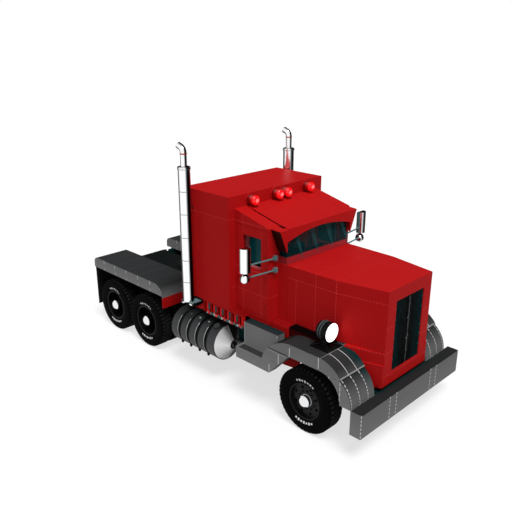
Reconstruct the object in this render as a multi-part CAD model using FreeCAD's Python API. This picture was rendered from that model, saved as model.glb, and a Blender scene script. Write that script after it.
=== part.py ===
"""Conventional three-axle semi truck tractor with a sleeper cab, in millimetres.

+X points forward, +Y to the vehicle's left and +Z up. The origin is on the ground, at the
centre of the vehicle's length and width. Stations along X are counted from the front axle
and shifted once, in write(), so that the vehicle is centred.
"""
import FreeCAD, Part
import math
import os

V = FreeCAD.Vector

# ---------------------------------------------------------------- driving sizes, mm
VEHICLE_HALF_WIDTH = 1300.0
BOGIE_CENTRE = -4380.0         # middle of the two driven axles
TANDEM_GAP = 22.0              # between the tyres of the two driven axles
REAR_OVERHANG = 129.0          # last tyre to the rear edge of the rear fenders

MOVING_GAP = 6.0               # between panels that move apart
PIN_CLEARANCE = 0.06           # radial, at every pin and spindle
SEAT_GAP = 0.3                 # between curved faces that seat on each other
SKIN = 12.0                    # pressed and moulded panels

# wheels
TYRE_RADIUS = 505.0
TYRE_BORE = 286.0
TYRE_SHOULDER = 26.0
FRONT_TYRE_WIDTH = 290.0
REAR_TYRE_WIDTH = 262.0
TWIN_GAP = 44.0
WHEEL_FACE_Y = 1250.0          # outer face of every outer tyre
HUB_CAP_OUT = 12.0             # how far the hub cap stands out of the tyre's face
HUB_RADIUS = 92.0
SPINDLE_RADIUS = 40.0
DISC_THICKNESS = 18.0
HAND_HOLES = 8
HAND_HOLE_RADIUS = 25.0
HAND_HOLE_CIRCLE = 208.0
DRUM_RADIUS = 235.0               # brake drums behind the wheel discs
FRONT_DRUM = 90.0
REAR_DRUM = 120.0
RIM_WALL = 16.0

# frame
RAIL_Y = 430.0                 # outer face of the web
RAIL_TOP = 1100.0
RAIL_HEIGHT = 260.0
RAIL_FLANGE = 80.0
RAIL_WALL = 10.0
RAIL_SHORT = 160.0             # rails stop this far behind the nose
RAIL_END_IN = 50.0             # and this far inside the rear fenders' end
DECK_THICKNESS = 20.0
DECK_FRONT = -2900.0

# steering axle
KINGPIN_Y = 960.0
KINGPIN_RADIUS = 25.0
AXLE_DROP = 175.0              # wheel centre to the beam's underside
AXLE_PAD_DROP = 105.0          # wheel centre to the spring pads
AXLE_BEAM_HALF = 55.0
BOSS_RADIUS = 52.0
BOSS_HALF_HEIGHT = 60.0
STEER_ARM_BACK = 150.0         # straight back from the kingpin, so both arms stay parallel
STUD_RADIUS = 12.0
TIE_ROD_DROP = 137.0           # wheel centre to the tie rod's centre line
TIE_ROD_RADIUS = 19.0

# bumper
BUMPER_DEPTH = 183.0
BUMPER_GAP = 40.0              # front fender to the bumper's rear edge
BUMPER_LOW = 410.0
BUMPER_HIGH = 781.0

# hood and cowl
LAMP_BAR_DEPTH = 28.0
LAMP_BAR_HALF = 505.0
TAIL_LAMP_DEPTH = 18.0
TAIL_LAMP_RADIUS = 38.0
TAIL_LAMP_Y = (330.0, 440.0)
TOW_EYE_Y = 200.0
SHELF_Z = 735.0                    # splash shelf between the frame horn and the fender
NOSE_HALF = 558.0
KINK_X = 95.0
KINK_HALF = 719.0
CAB_FRONT = -983.0
COWL_HALF = 755.0              # half width of hood and cowl at the cab
HOOD_REAR = -795.0
HOOD_TOP = 2270.0
HOOD_LEDGE = 20.0              # front fender's crown up to the hood's side panel
NOSE_LOW = 790.0
CHEEK_IN_TYRE = 215.0          # rear edge of the lower nose, behind the tyre's front
CHIN_IN_TYRE = 125.0           # the lowest step stops here, clear of the steered tyre
CHEEK_HALF = 737.0
CHEEK_STEP_Z = 1160.0
CHEEK_STEP = 22.0
HINGE_BACK = 60.0              # hood hinge behind the nose
HINGE_Z = 830.0
HINGE_PIN_RADIUS = 12.0
GRILLE_HALF = 356.0
GRILLE_LOW = 997.0
GRILLE_HIGH = 2081.0
GRILLE_BARS = 21

# front fender
FENDER_IN = 690.0
FENDER_OUT = 1250.0
FENDER_ABOVE = 315.0           # crown above the tyre
FENDER_SKIRT = 115.0           # lower edge of the side above the tyre
FENDER_REACH = 316.0           # front tip ahead of the tyre

# headlight
LAMP_Y = 900.0
LAMP_RISE = 237.0              # lamp's centre above the fender
LAMP_FACE_X = 190.0
LAMP_RADIUS = 140.0
LAMP_LENGTH = 210.0
LAMP_PLATE = 340.0

# cab
CAB_REAR = -1706.0
CAB_HALF = 972.0
CAB_FLOOR_LOW = 1360.0
CAB_FLOOR = 1400.0
CAB_WALL = 60.0
CAB_ROOF_FRONT = 2842.0
CAB_ROOF_REAR = 3020.0
ROOF_THICKNESS = 40.0
FIREWALL = 40.0
WINDSCREEN_HALF = 740.0
WINDSCREEN_FOOT_X = -815.0
WINDSCREEN_TOP_X = -880.0
WINDSCREEN_TOP = 2700.0
GLASS = 6.0

# door
DOOR_FRONT = -1036.0
DOOR_REAR = -1654.0
DOOR_LOW = 1426.0
DOOR_TOP = 2794.0
WINDOW_FRONT = -1139.0
WINDOW_REAR = -1526.0
WINDOW_LOW = 2137.0
WINDOW_TOP = 2653.0
DOOR_HINGE_X = -1031.0
DOOR_HINGE_OUT = 12.0          # hinge axis outside the door skin
DOOR_PIN_RADIUS = 5.0
DOOR_KNUCKLE_RADIUS = 11.0
DOOR_HINGE_HEIGHTS = (1620.0, 2420.0)
HANDLE_REAR = -1630.0
HANDLE_FRONT = -1490.0
HANDLE_Z = 2000.0

# roof visor
VISOR_FRONT = -795.0
VISOR_TOP_FRONT = 2828.0
VISOR_TOP_HALF = 925.0
VISOR_LOW_HALF = 775.0
VISOR_LOW = 2475.0
ARCH_HALF = 765.0
ARCH_SPRING = 2631.0
ARCH_CROWN = 2750.0
ROOF_PANEL_HALF = 730.0
ROOF_PANEL_RISE = 15.0
ROOF_PANEL_REAR = -1640.0

# sleeper
SLEEPER_REAR = -2835.0
SLEEPER_HALF = 1105.0
SLEEPER_TOP = 3214.0
SLEEPER_WALL = 40.0
SLEEPER_EDGE = 70.0            # radius of the rear edges
PASSAGE_HALF = 760.0
PASSAGE_TOP = 2700.0

# skirts under the sleeper
FIN_COUNT = 12                     # upright ribs below the sleeper and the cab's rear half
FIN_PITCH = 84.0
FIN_WIDTH = 44.0
FIN_DEPTH = 46.0
FIN_PLATE = 10.0
FIN_FIRST = -1403.0
FIN_LOW = 1145.0
SILL_DEPTH = 66.0                 # red sill below the cab's side
FIN_SLOT = 28.0
FIN_SLOT_LOW = 1222.0
FIN_SLOT_HIGH = 1326.0

# exhaust
STACK_X = -2590.0
STACK_Y = 1222.0
MUFFLER_RADIUS = 100.0
MUFFLER_LOW = 1312.0
MUFFLER_HIGH = 3580.0
TAIL_RADIUS = 54.0
TAIL_BEND_Z = 3790.0
TAIL_BEND_RADIUS = 95.0
TAIL_WALL = 4.0
TAIL_TIP = 60.0
CROSSOVER_Z = 1185.0
CROSSOVER_RADIUS = 50.0

# fuel tank
TANK_RADIUS = 318.0
TANK_Y = 978.0
TANK_Z = 690.0
TANK_FRONT = -1905.0
TANK_RINGS = 5
TANK_RING_LENGTH = 192.0
STRAP_WIDTH = 36.0
STRAP_DEPTH = 12.0
STRAP_SUNK = 7.0                # the bands lie this far below the ribs
CONE_LENGTH = 150.0
CONE_TIP_RADIUS = 78.0
FUEL_LINE_RADIUS = 32.0
FILLER_RADIUS = 42.0
FILLER_LEAN = 0.45                 # radians from upright, outward

# side steps
BATTERY_REAR = -1739.0
BATTERY_FRONT = -1390.0
BATTERY_OUT = 884.0
BATTERY_LOW = 760.0
BATTERY_HIGH = 1145.0
BATTERY_LID = 46.0
STEP_HIGH_TOP = 1304.0
STEP_HIGH_FRONT = -631.0
STEP_HIGH_REAR = -1344.0
STEP_HIGH_IN = 980.0
STEP_HIGH_OUT = 1134.0
STEP_GAP = 8.0                 # between the upper box and the fender's tip
STEP_LOW_TOP = 924.0
STEP_LOW_BOTTOM = 735.0
STEP_LOW_FRONT = -712.0
STEP_PAD_FRONT = -812.0         # front end of the sunk tread pad
STEP_WING_TOP = 1112.0          # side plate that rises to the front fender's tip
WING_CLEARANCE = 60.0           # least room that the plate leaves round the front tyre
STEP_LOW_REAR = -1376.0
STEP_LOW_IN = 700.0
STEP_LOW_OUT = 1288.0

# rear fender
REAR_FENDER_ABOVE = 350.0      # top above the tyres
REAR_FENDER_SKIRT = 147.0      # lower edge above the tyres
REAR_FENDER_LEAD = 54.0        # front edge ahead of the second axle's tyre
REAR_FENDER_LIP = 27.0         # front edge reaches this far below the side
REAR_FENDER_IN = 550.0
REAR_FENDER_OUT = 1250.0
PANEL_LOW = 930.0
FLAP_LOW = 350.0
FLAP_LAP = 83.0                    # flap's upper edge inside the fender
FLAP_IN = 655.0

# fifth wheel
COUPLING_LEAD = 630.0          # coupling ahead of the middle of the driven axles
COUPLING_TOP = 1395.0
COUPLING_PLATE = 45.0
COUPLING_RADIUS = 450.0
COUPLING_PIVOT_Z = 1300.0
COUPLING_PIVOT_RADIUS = 22.0
KINGPIN_SOCKET = 25.6
THROAT_HALF = 150.0
COUPLING_FOOT_Y = 300.0

# mirrors and lamps
MIRROR_X = -1045.0
MIRROR_Y = 1400.0
MIRROR_RADIUS = 88.0
MIRROR_LOW = 2276.0
MIRROR_HIGH = 2646.0
BALL_RADIUS = 77.0
BALL_Z = 2172.0
ARM_HEIGHTS = (2186.0, 2375.0)
ARM_RADIUS = 13.0
CLIP_Y = 850.0
CLIP_HALF = 34.0
MARKER_Z = 3120.0
MARKER_RADIUS = 70.0
MARKER_FRONT = -1556.0
MARKER_Y = (100.0, 660.0)

# engine and driveline
ENGINE_REAR = -640.0
ENGINE_FRONT = 560.0
ENGINE_HALF = 325.0
ENGINE_LOW = 720.0
ENGINE_TOP = 1720.0
GEARBOX_REAR = -1760.0
GEARBOX_HALF = 230.0
RADIATOR_DEPTH = 115.0
RADIATOR_HALF = 335.0
RADIATOR_TOP = 2060.0
SHAFT_OUT_Z = 840.0
AXLE_TUBE = 72.0

# ---------------------------------------------------------------- places that follow, mm
AXLE2_X = BOGIE_CENTRE + TYRE_RADIUS + TANDEM_GAP / 2
AXLE3_X = BOGIE_CENTRE - TYRE_RADIUS - TANDEM_GAP / 2
REAR_END = AXLE3_X - TYRE_RADIUS - REAR_OVERHANG
FENDER_FRONT = TYRE_RADIUS + FENDER_REACH
BUMPER_BACK = FENDER_FRONT + BUMPER_GAP
FRONT_OVERHANG = BUMPER_BACK + BUMPER_DEPTH
NOSE_X = BUMPER_BACK - 1
HINGE_X = NOSE_X - HINGE_BACK
CHEEK_X = TYRE_RADIUS - CHEEK_IN_TYRE
CHIN_X = TYRE_RADIUS - CHIN_IN_TYRE
RAIL_FRONT = NOSE_X - RAIL_SHORT
RAIL_REAR = REAR_END + RAIL_END_IN
FRONT_AXLE_X = (FRONT_OVERHANG - REAR_END) / 2 - FRONT_OVERHANG
AXLE_BEAM_LOW = TYRE_RADIUS - AXLE_DROP
AXLE_BEAM_PAD = TYRE_RADIUS - AXLE_PAD_DROP
TIE_ROD_Z = TYRE_RADIUS - TIE_ROD_DROP
FENDER_TOP = 2 * TYRE_RADIUS + FENDER_ABOVE
FENDER_LOW = 2 * TYRE_RADIUS + FENDER_SKIRT
HOOD_SIDE_LOW = FENDER_TOP + HOOD_LEDGE
LAMP_Z = FENDER_TOP + LAMP_RISE
REAR_FENDER_TOP = 2 * TYRE_RADIUS + REAR_FENDER_ABOVE
REAR_FENDER_LOW = 2 * TYRE_RADIUS + REAR_FENDER_SKIRT
REAR_FENDER_FRONT = AXLE2_X + TYRE_RADIUS + REAR_FENDER_LEAD
REAR_FENDER_FRONT_LOW = REAR_FENDER_LOW - REAR_FENDER_LIP
COUPLING_X = BOGIE_CENTRE + COUPLING_LEAD
TANK_PITCH = TANK_RING_LENGTH + STRAP_WIDTH
TANK_REAR = TANK_FRONT - TANK_RINGS * TANK_RING_LENGTH - (TANK_RINGS - 1) * STRAP_WIDTH
RAIL_LOW = RAIL_TOP - RAIL_HEIGHT
RAIL_IN = RAIL_Y - RAIL_FLANGE
WEB_IN = RAIL_Y - RAIL_WALL
DECK_TOP = RAIL_TOP + DECK_THICKNESS


# ---------------------------------------------------------------- small helpers
def box(x0, x1, y0, y1, z0, z1):
    """Axis-aligned block between two corners."""
    low = V(min(x0, x1), min(y0, y1), min(z0, z1))
    return Part.makeBox(abs(x1 - x0), abs(y1 - y0), abs(z1 - z0), low)


def rod(radius, start, end):
    """Round bar between two points."""
    way = V(*end).sub(V(*start))
    return Part.makeCylinder(radius, way.Length, V(*start), way)


def outline(steps, place):
    """Closed face from steps: (a, b) is a straight run, (ma, mb, a, b) an arc through (ma, mb)."""
    here = place(*steps[0])
    first = here
    edges = []
    for step in steps[1:]:
        end = place(*step[-2:])
        if len(step) == 4:
            edges.append(Part.Arc(here, place(*step[:2]), end).toShape())
        else:
            edges.append(Part.LineSegment(here, end).toShape())
        here = end
    if here.distanceToPoint(first) > 1e-6:
        edges.append(Part.LineSegment(here, first).toShape())
    return Part.Face(Part.Wire(edges))


def side_profile(steps, y0, y1):
    """Prism of an (x, z) outline between two Y planes."""
    face = outline(steps, lambda a, b: V(a, y0, b))
    return face.extrude(V(0, y1 - y0, 0))


def front_profile(steps, x0, x1):
    """Prism of a (y, z) outline between two X planes."""
    face = outline(steps, lambda a, b: V(x0, a, b))
    return face.extrude(V(x1 - x0, 0, 0))


def plan_profile(steps, z0, z1):
    """Prism of an (x, y) outline between two heights."""
    face = outline(steps, lambda a, b: V(a, b, z0))
    return face.extrude(V(0, 0, z1 - z0))


def both_sides(half_points):
    """Closed outline of a list of (x, half width), mirrored about the centre plane."""
    return [(x, h) for x, h in half_points] + [(x, -h) for x, h in reversed(half_points)]


def turned(steps, centre, axis):
    """Solid of revolution of a (radius, along) outline about an axis through centre."""
    along = V(*axis)
    across = V(0, 0, 1)
    face = outline(steps, lambda r, a: V(*centre) + across * r + along * a)
    return face.revolve(V(*centre), along, 360)


def fuse(shapes):
    """One shape of many that touch or overlap."""
    first = shapes[0]
    return first.multiFuse(shapes[1:]).removeSplitter() if len(shapes) > 1 else first


def mirrored(shape):
    """The same piece on the vehicle's other side."""
    return shape.mirror(V(0, 0, 0), V(0, 1, 0))


def pair(shape):
    """Left and right copies as one shape of two separate solids."""
    return Part.makeCompound([shape, mirrored(shape)])


def write(name, shape):
    """Shift from axle stations to the vehicle's centre and write one node."""
    moved = shape.copy()
    moved.translate(V(FRONT_AXLE_X, 0, 0))
    solids = moved.Solids
    if not solids:
        raise ValueError(name + " has no solid")
    moved = solids[0] if len(solids) == 1 else Part.makeCompound(solids)
    moved.exportStep("parts/" + name + ".step")


# ---------------------------------------------------------------- wheels
def hand_holes(x, y0, y1):
    """Ring of round openings through a wheel disc."""
    holes = []
    for i in range(HAND_HOLES):
        a = 2 * math.pi * (i + 0.5) / HAND_HOLES
        hx = x + HAND_HOLE_CIRCLE * math.sin(a)
        hz = TYRE_RADIUS + HAND_HOLE_CIRCLE * math.cos(a)
        holes.append(rod(HAND_HOLE_RADIUS, (hx, y0, hz), (hx, y1, hz)))
    return Part.makeCompound(holes)


def tyre(width, outer_y):
    """Radial tyre: flat tread, rounded shoulders, sidewalls that bulge past the rim."""
    half = width / 2
    bead = half - 24
    middle = outer_y - half
    bulge_r = (TYRE_BORE + TYRE_RADIUS) / 2
    steps = [(TYRE_BORE, -bead), (bulge_r, -half), (TYRE_RADIUS - TYRE_SHOULDER, -half + 8)]
    steps += [(TYRE_RADIUS, -half + TYRE_SHOULDER), (TYRE_RADIUS, half - TYRE_SHOULDER)]
    steps += [(TYRE_RADIUS - TYRE_SHOULDER, half - 8), (bulge_r, half), (TYRE_BORE, bead)]
    return lambda x: turned(steps, (x, middle, TYRE_RADIUS), (0, 1, 0))


def front_rim():
    """Deep steel disc wheel with its hub, cap and brake drum; the spindle's bore is open behind."""
    seat = TYRE_BORE - SEAT_GAP
    half = FRONT_TYRE_WIDTH / 2 - 16
    middle = WHEEL_FACE_Y - FRONT_TYRE_WIDTH / 2
    disc = middle + 60
    cap = WHEEL_FACE_Y + HUB_CAP_OUT
    bore = SPINDLE_RADIUS + PIN_CLEARANCE
    back = middle - 50
    bore_end = cap - 40
    steps = [(seat, middle - half), (seat, middle + half), (seat - RIM_WALL, middle + half)]
    steps += [(seat - RIM_WALL, disc + DISC_THICKNESS), (HUB_RADIUS, disc + DISC_THICKNESS)]
    steps += [(HUB_RADIUS, cap - 22), (HUB_RADIUS - 22, cap), (0, cap), (0, bore_end)]
    steps += [(bore, bore_end), (bore, back), (HUB_RADIUS, back), (HUB_RADIUS, disc - FRONT_DRUM)]
    steps += [(DRUM_RADIUS, disc - FRONT_DRUM), (DRUM_RADIUS, disc)]
    steps += [(seat - RIM_WALL, disc), (seat - RIM_WALL, middle - half)]
    wheel = turned(steps, (0, 0, TYRE_RADIUS), (0, 1, 0))
    return wheel.cut(hand_holes(0, disc - 5, disc + DISC_THICKNESS + 5))


def rear_rims(x):
    """Twin rims on one hub, with the disc between the two tyres and the brake drum behind it."""
    seat = TYRE_BORE - SEAT_GAP
    outer = WHEEL_FACE_Y - 16
    inner = WHEEL_FACE_Y - 2 * REAR_TYRE_WIDTH - TWIN_GAP + 16
    disc = WHEEL_FACE_Y - REAR_TYRE_WIDTH - TWIN_GAP / 2
    cap = WHEEL_FACE_Y + HUB_CAP_OUT
    bore = SPINDLE_RADIUS + PIN_CLEARANCE
    bore_end = cap - 40
    steps = [(seat, inner), (seat, outer), (seat - RIM_WALL, outer)]
    steps += [(seat - RIM_WALL, disc + DISC_THICKNESS), (HUB_RADIUS, disc + DISC_THICKNESS)]
    steps += [(HUB_RADIUS, cap - 22), (HUB_RADIUS - 22, cap), (0, cap), (0, bore_end)]
    steps += [(bore, bore_end), (bore, inner + 30), (HUB_RADIUS, inner + 30)]
    steps += [(HUB_RADIUS, disc - REAR_DRUM), (DRUM_RADIUS, disc - REAR_DRUM), (DRUM_RADIUS, disc)]
    steps += [(seat - RIM_WALL, disc), (seat - RIM_WALL, inner)]
    wheel = turned(steps, (x, 0, TYRE_RADIUS), (0, 1, 0))
    return wheel.cut(hand_holes(x, disc - 5, disc + DISC_THICKNESS + 5))


def wheels():
    """Tyres and rims of the two steered wheels and the four driven twins."""
    front = tyre(FRONT_TYRE_WIDTH, WHEEL_FACE_Y)(0)
    rim = front_rim()
    write("tyre_front_left", front)
    write("tyre_front_right", mirrored(front))
    write("wheel_front_left", rim)
    write("wheel_front_right", mirrored(rim))
    outer = tyre(REAR_TYRE_WIDTH, WHEEL_FACE_Y)
    inner = tyre(REAR_TYRE_WIDTH, WHEEL_FACE_Y - REAR_TYRE_WIDTH - TWIN_GAP)
    for label, x in (("second", AXLE2_X), ("third", AXLE3_X)):
        twins = Part.makeCompound([outer(x), inner(x)])
        rims = rear_rims(x)
        write("tyres_" + label + "_left", twins)
        write("tyres_" + label + "_right", mirrored(twins))
        write("wheels_" + label + "_left", rims)
        write("wheels_" + label + "_right", mirrored(rims))


# ---------------------------------------------------------------- frame
def frame():
    """Two channel rails with the crossmembers that tie their webs."""
    section = [(RAIL_Y, RAIL_LOW), (RAIL_Y, RAIL_TOP), (RAIL_IN, RAIL_TOP)]
    section += [(RAIL_IN, RAIL_TOP - RAIL_WALL), (WEB_IN, RAIL_TOP - RAIL_WALL)]
    section += [(WEB_IN, RAIL_LOW + RAIL_WALL), (RAIL_IN, RAIL_LOW + RAIL_WALL), (RAIL_IN, RAIL_LOW)]
    rail = front_profile(section, RAIL_REAR, RAIL_FRONT)
    write("frame_rails", pair(rail))
    low = RAIL_LOW + RAIL_WALL
    high = RAIL_TOP - RAIL_WALL
    # station, depth along X, low edge, high edge
    table = ((RAIL_FRONT - 70, 110, low, low + 60), (-1840, 60, low + 70, high),
             (-2780, 60, low, high), (AXLE2_X + 360, 60, low, high),
             (BOGIE_CENTRE, 120, low, high), (AXLE3_X - 360, 60, low, high),
             (RAIL_REAR + 30, 60, low, high))
    members = [box(x - d / 2, x + d / 2, -WEB_IN, WEB_IN, z0, z1) for x, d, z0, z1 in table]
    members[-1] = fuse([members[-1], tow_eye(-TOW_EYE_Y), tow_eye(TOW_EYE_Y)])
    write("crossmembers", Part.makeCompound(members))
    deck = box(RAIL_REAR, DECK_FRONT, -RAIL_Y, RAIL_Y, RAIL_TOP, DECK_TOP)
    write("rear_deck", deck)


def tow_eye(y):
    """Bored lug behind the last crossmember."""
    z = RAIL_LOW + 90
    lug = box(RAIL_REAR - 2, RAIL_REAR + 5, y - 55, y + 55, z - 55, z + 55)
    tongue = box(RAIL_REAR - 22, RAIL_REAR, y - 15, y + 15, z - 40, z + 40)
    bar = rod(20, (RAIL_REAR - 24, y - 15, z), (RAIL_REAR - 24, y + 15, z))
    return fuse([lug, tongue, bar]).cut(rod(11, (RAIL_REAR - 24, y - 30, z), (RAIL_REAR - 24, y + 30, z)))


def tail_lamps():
    """Round lamps on a closed bar across the rails' ends."""
    bar = box(RAIL_REAR - LAMP_BAR_DEPTH, RAIL_REAR, -LAMP_BAR_HALF, LAMP_BAR_HALF, RAIL_TOP - 92, RAIL_TOP)
    write("light_bar", bar)
    lamps = []
    for y in TAIL_LAMP_Y:
        start = (RAIL_REAR - LAMP_BAR_DEPTH - TAIL_LAMP_DEPTH, y, RAIL_TOP - 46)
        lamps.append(pair(rod(TAIL_LAMP_RADIUS, start, (RAIL_REAR - LAMP_BAR_DEPTH, y, RAIL_TOP - 46))))
    write("tail_lamps", Part.makeCompound(lamps))


def bumper():
    """Full-width channel bumper, closed at its ends and open behind."""
    outer = box(BUMPER_BACK, FRONT_OVERHANG, -VEHICLE_HALF_WIDTH, VEHICLE_HALF_WIDTH, BUMPER_LOW, BUMPER_HIGH)
    wide = VEHICLE_HALF_WIDTH - SKIN
    inner = box(BUMPER_BACK - 1, FRONT_OVERHANG - SKIN, -wide, wide, BUMPER_LOW + SKIN, BUMPER_HIGH - SKIN)
    write("front_bumper", outer.cut(inner))


# ---------------------------------------------------------------- steering axle
def front_axle():
    """Forged drop beam with a bored boss at each kingpin."""
    half = [(0, AXLE_BEAM_LOW), (560, AXLE_BEAM_LOW), (790, TYRE_RADIUS - 50), (KINGPIN_Y, TYRE_RADIUS - 45)]
    half += [(KINGPIN_Y, TYRE_RADIUS + 45), (760, TYRE_RADIUS + 40), (560, AXLE_BEAM_PAD), (0, AXLE_BEAM_PAD)]
    beam = front_profile(half, -AXLE_BEAM_HALF + 8, AXLE_BEAM_HALF - 8)
    boss_low = TYRE_RADIUS - BOSS_HALF_HEIGHT
    boss = Part.makeCylinder(BOSS_RADIUS, 2 * BOSS_HALF_HEIGHT, V(0, KINGPIN_Y, boss_low))
    pad = box(-AXLE_BEAM_HALF - 40, AXLE_BEAM_HALF + 40, WEB_IN - 50, WEB_IN + 50, AXLE_BEAM_PAD - 25, AXLE_BEAM_PAD)
    side = fuse([beam, boss, pad])
    bore = KINGPIN_RADIUS + PIN_CLEARANCE
    side = side.cut(Part.makeCylinder(bore, 400, V(0, KINGPIN_Y, boss_low - 100)))
    write("front_axle", fuse([side, mirrored(side)]))


def knuckle():
    """Left steering knuckle: yoke, kingpin, spindle and the arm with the tie rod's stud."""
    gap = BOSS_HALF_HEIGHT + MOVING_GAP
    ear = 34
    plate_y = KINGPIN_Y + BOSS_RADIUS + MOVING_GAP
    low = TYRE_RADIUS - gap - ear
    high = TYRE_RADIUS + gap + ear
    pin = Part.makeCylinder(KINGPIN_RADIUS, high - low, V(0, KINGPIN_Y, low))
    pieces = [pin]
    for z in (low, high - ear):
        pieces.append(Part.makeCylinder(48, ear, V(0, KINGPIN_Y, z)))
        pieces.append(box(-42, 42, KINGPIN_Y, plate_y + 16, z, z + ear))
    pieces.append(box(-62, 62, plate_y, plate_y + 16, low, high))
    spindle_end = WHEEL_FACE_Y + HUB_CAP_OUT - 60
    pieces.append(rod(SPINDLE_RADIUS, (0, plate_y + 10, TYRE_RADIUS), (0, spindle_end, TYRE_RADIUS)))
    pieces += [box(-STEER_ARM_BACK, 24, KINGPIN_Y - 26, KINGPIN_Y + 26, low, low + 26)]
    pieces += [Part.makeCylinder(30, 26, V(-STEER_ARM_BACK, KINGPIN_Y, low))]
    stud_low = TIE_ROD_Z - TIE_ROD_RADIUS - 8
    pieces.append(Part.makeCylinder(STUD_RADIUS, low + 5 - stud_low, V(-STEER_ARM_BACK, KINGPIN_Y, stud_low)))
    return fuse(pieces)


def tie_rod():
    """Round rod between the two steering arms, with a bored eye at each end."""
    ends = (-KINGPIN_Y, KINGPIN_Y)
    pieces = [rod(TIE_ROD_RADIUS, (-STEER_ARM_BACK, ends[0], TIE_ROD_Z), (-STEER_ARM_BACK, ends[1], TIE_ROD_Z))]
    holes = []
    for side in ends:
        low = TIE_ROD_Z - TIE_ROD_RADIUS - 4
        pieces.append(Part.makeCylinder(32, 2 * TIE_ROD_RADIUS + 8, V(-STEER_ARM_BACK, side, low)))
        holes.append(Part.makeCylinder(STUD_RADIUS + PIN_CLEARANCE, 120, V(-STEER_ARM_BACK, side, low - 40)))
    write("tie_rod", fuse(pieces).cut(Part.makeCompound(holes)))


def leaf_spring():
    """Left front spring: concentric leaves that shorten downward, hung from the rail."""
    width = 80
    leaf = 20
    rise = 150
    reach = 600
    radius = (reach * reach + rise * rise) / (2 * rise)
    low = AXLE_BEAM_PAD
    pieces = []
    # half length of each leaf, from the bottom up
    for i, length in enumerate((300, 430, 540, reach)):
        inside = radius - (i + 1) * leaf
        outside = radius - i * leaf
        centre = low + radius
        a = math.asin(length / radius)
        steps = [(-outside * math.sin(a), centre - outside * math.cos(a))]
        steps.append((0, centre - outside, outside * math.sin(a), centre - outside * math.cos(a)))
        steps.append((inside * math.sin(a), centre - inside * math.cos(a)))
        steps.append((0, centre - inside, -inside * math.sin(a), centre - inside * math.cos(a)))
        pieces.append(side_profile(steps, WEB_IN - width / 2, WEB_IN + width / 2))
    eye_z = low + rise + 3.5 * leaf
    for x in (-reach, reach):
        pieces.append(box(x - 30, x + 30, WEB_IN - width / 2, WEB_IN + width / 2, eye_z - 20, RAIL_LOW))
    return fuse(pieces)


def walking_beam():
    """Left bogie beam: an eye round each axle tube and a saddle up to the rail."""
    y0 = WEB_IN - 30
    y1 = WEB_IN + 50
    eye = 112
    pieces = []
    for x in (AXLE2_X, AXLE3_X):
        pieces.append(rod(eye, (x, y0, TYRE_RADIUS), (x, y1, TYRE_RADIUS)))
    pieces.append(side_profile([(AXLE2_X, TYRE_RADIUS - 60), (AXLE2_X, TYRE_RADIUS + 70),
                                (BOGIE_CENTRE + 220, TYRE_RADIUS + 100), (BOGIE_CENTRE + 150, RAIL_LOW),
                                (BOGIE_CENTRE - 150, RAIL_LOW), (BOGIE_CENTRE - 220, TYRE_RADIUS + 100),
                                (AXLE3_X, TYRE_RADIUS + 70), (AXLE3_X, TYRE_RADIUS - 60),
                                (BOGIE_CENTRE, TYRE_RADIUS - 130)], y0, y1))
    beam = fuse(pieces)
    for x in (AXLE2_X, AXLE3_X):
        beam = beam.cut(rod(AXLE_TUBE + SEAT_GAP, (x, y0 - 5, TYRE_RADIUS), (x, y1 + 5, TYRE_RADIUS)))
    return beam


def drive_axles():
    """Two banjo housings on one line of shafts from the gearbox."""
    pieces = []
    inner = WHEEL_FACE_Y - 2 * REAR_TYRE_WIDTH - TWIN_GAP
    for x in (AXLE2_X, AXLE3_X):
        housing = [(0, -inner), (AXLE_TUBE, -inner), (AXLE_TUBE, -240), (205, -90), (205, 90)]
        housing += [(AXLE_TUBE, 240), (AXLE_TUBE, inner), (0, inner)]
        pieces.append(turned(housing, (x, 0, TYRE_RADIUS), (0, 1, 0)))
        end = WHEEL_FACE_Y + HUB_CAP_OUT - 60
        pieces.append(rod(SPINDLE_RADIUS, (x, -end, TYRE_RADIUS), (x, end, TYRE_RADIUS)))
        nose = Part.makeCone(120, 62, 190, V(x + 150, 0, TYRE_RADIUS + 20), V(1, 0, 0))
        pieces.append(nose)
    shaft_z = TYRE_RADIUS + 20
    pieces.append(rod(48, (AXLE3_X + 300, 0, shaft_z), (AXLE2_X - 150, 0, shaft_z)))
    pieces.append(rod(52, (AXLE2_X + 330, 0, shaft_z), (GEARBOX_REAR, 0, SHAFT_OUT_Z)))
    write("drive_axles", fuse(pieces).cut(box(GEARBOX_REAR, GEARBOX_REAR + 200, -90, 90, 600, 1000)))


def engine():
    """Engine and gearbox as plain blocks on the rails."""
    block = box(ENGINE_REAR, ENGINE_FRONT, -ENGINE_HALF, ENGINE_HALF, ENGINE_LOW, ENGINE_TOP)
    gearbox = box(GEARBOX_REAR, ENGINE_REAR, -GEARBOX_HALF, GEARBOX_HALF, ENGINE_LOW - 20, RAIL_TOP - 15)
    lugs = [box(x - 60, x + 60, -WEB_IN, WEB_IN, 900, 960) for x in (-420, 340)]
    write("engine_block", fuse([block, gearbox] + lugs))
    base = RAIL_LOW + RAIL_WALL + 60
    core_back = ENGINE_FRONT + 15
    core = box(core_back, core_back + RADIATOR_DEPTH, -RADIATOR_HALF, RADIATOR_HALF, base, RADIATOR_TOP)
    write("radiator", core)


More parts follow.
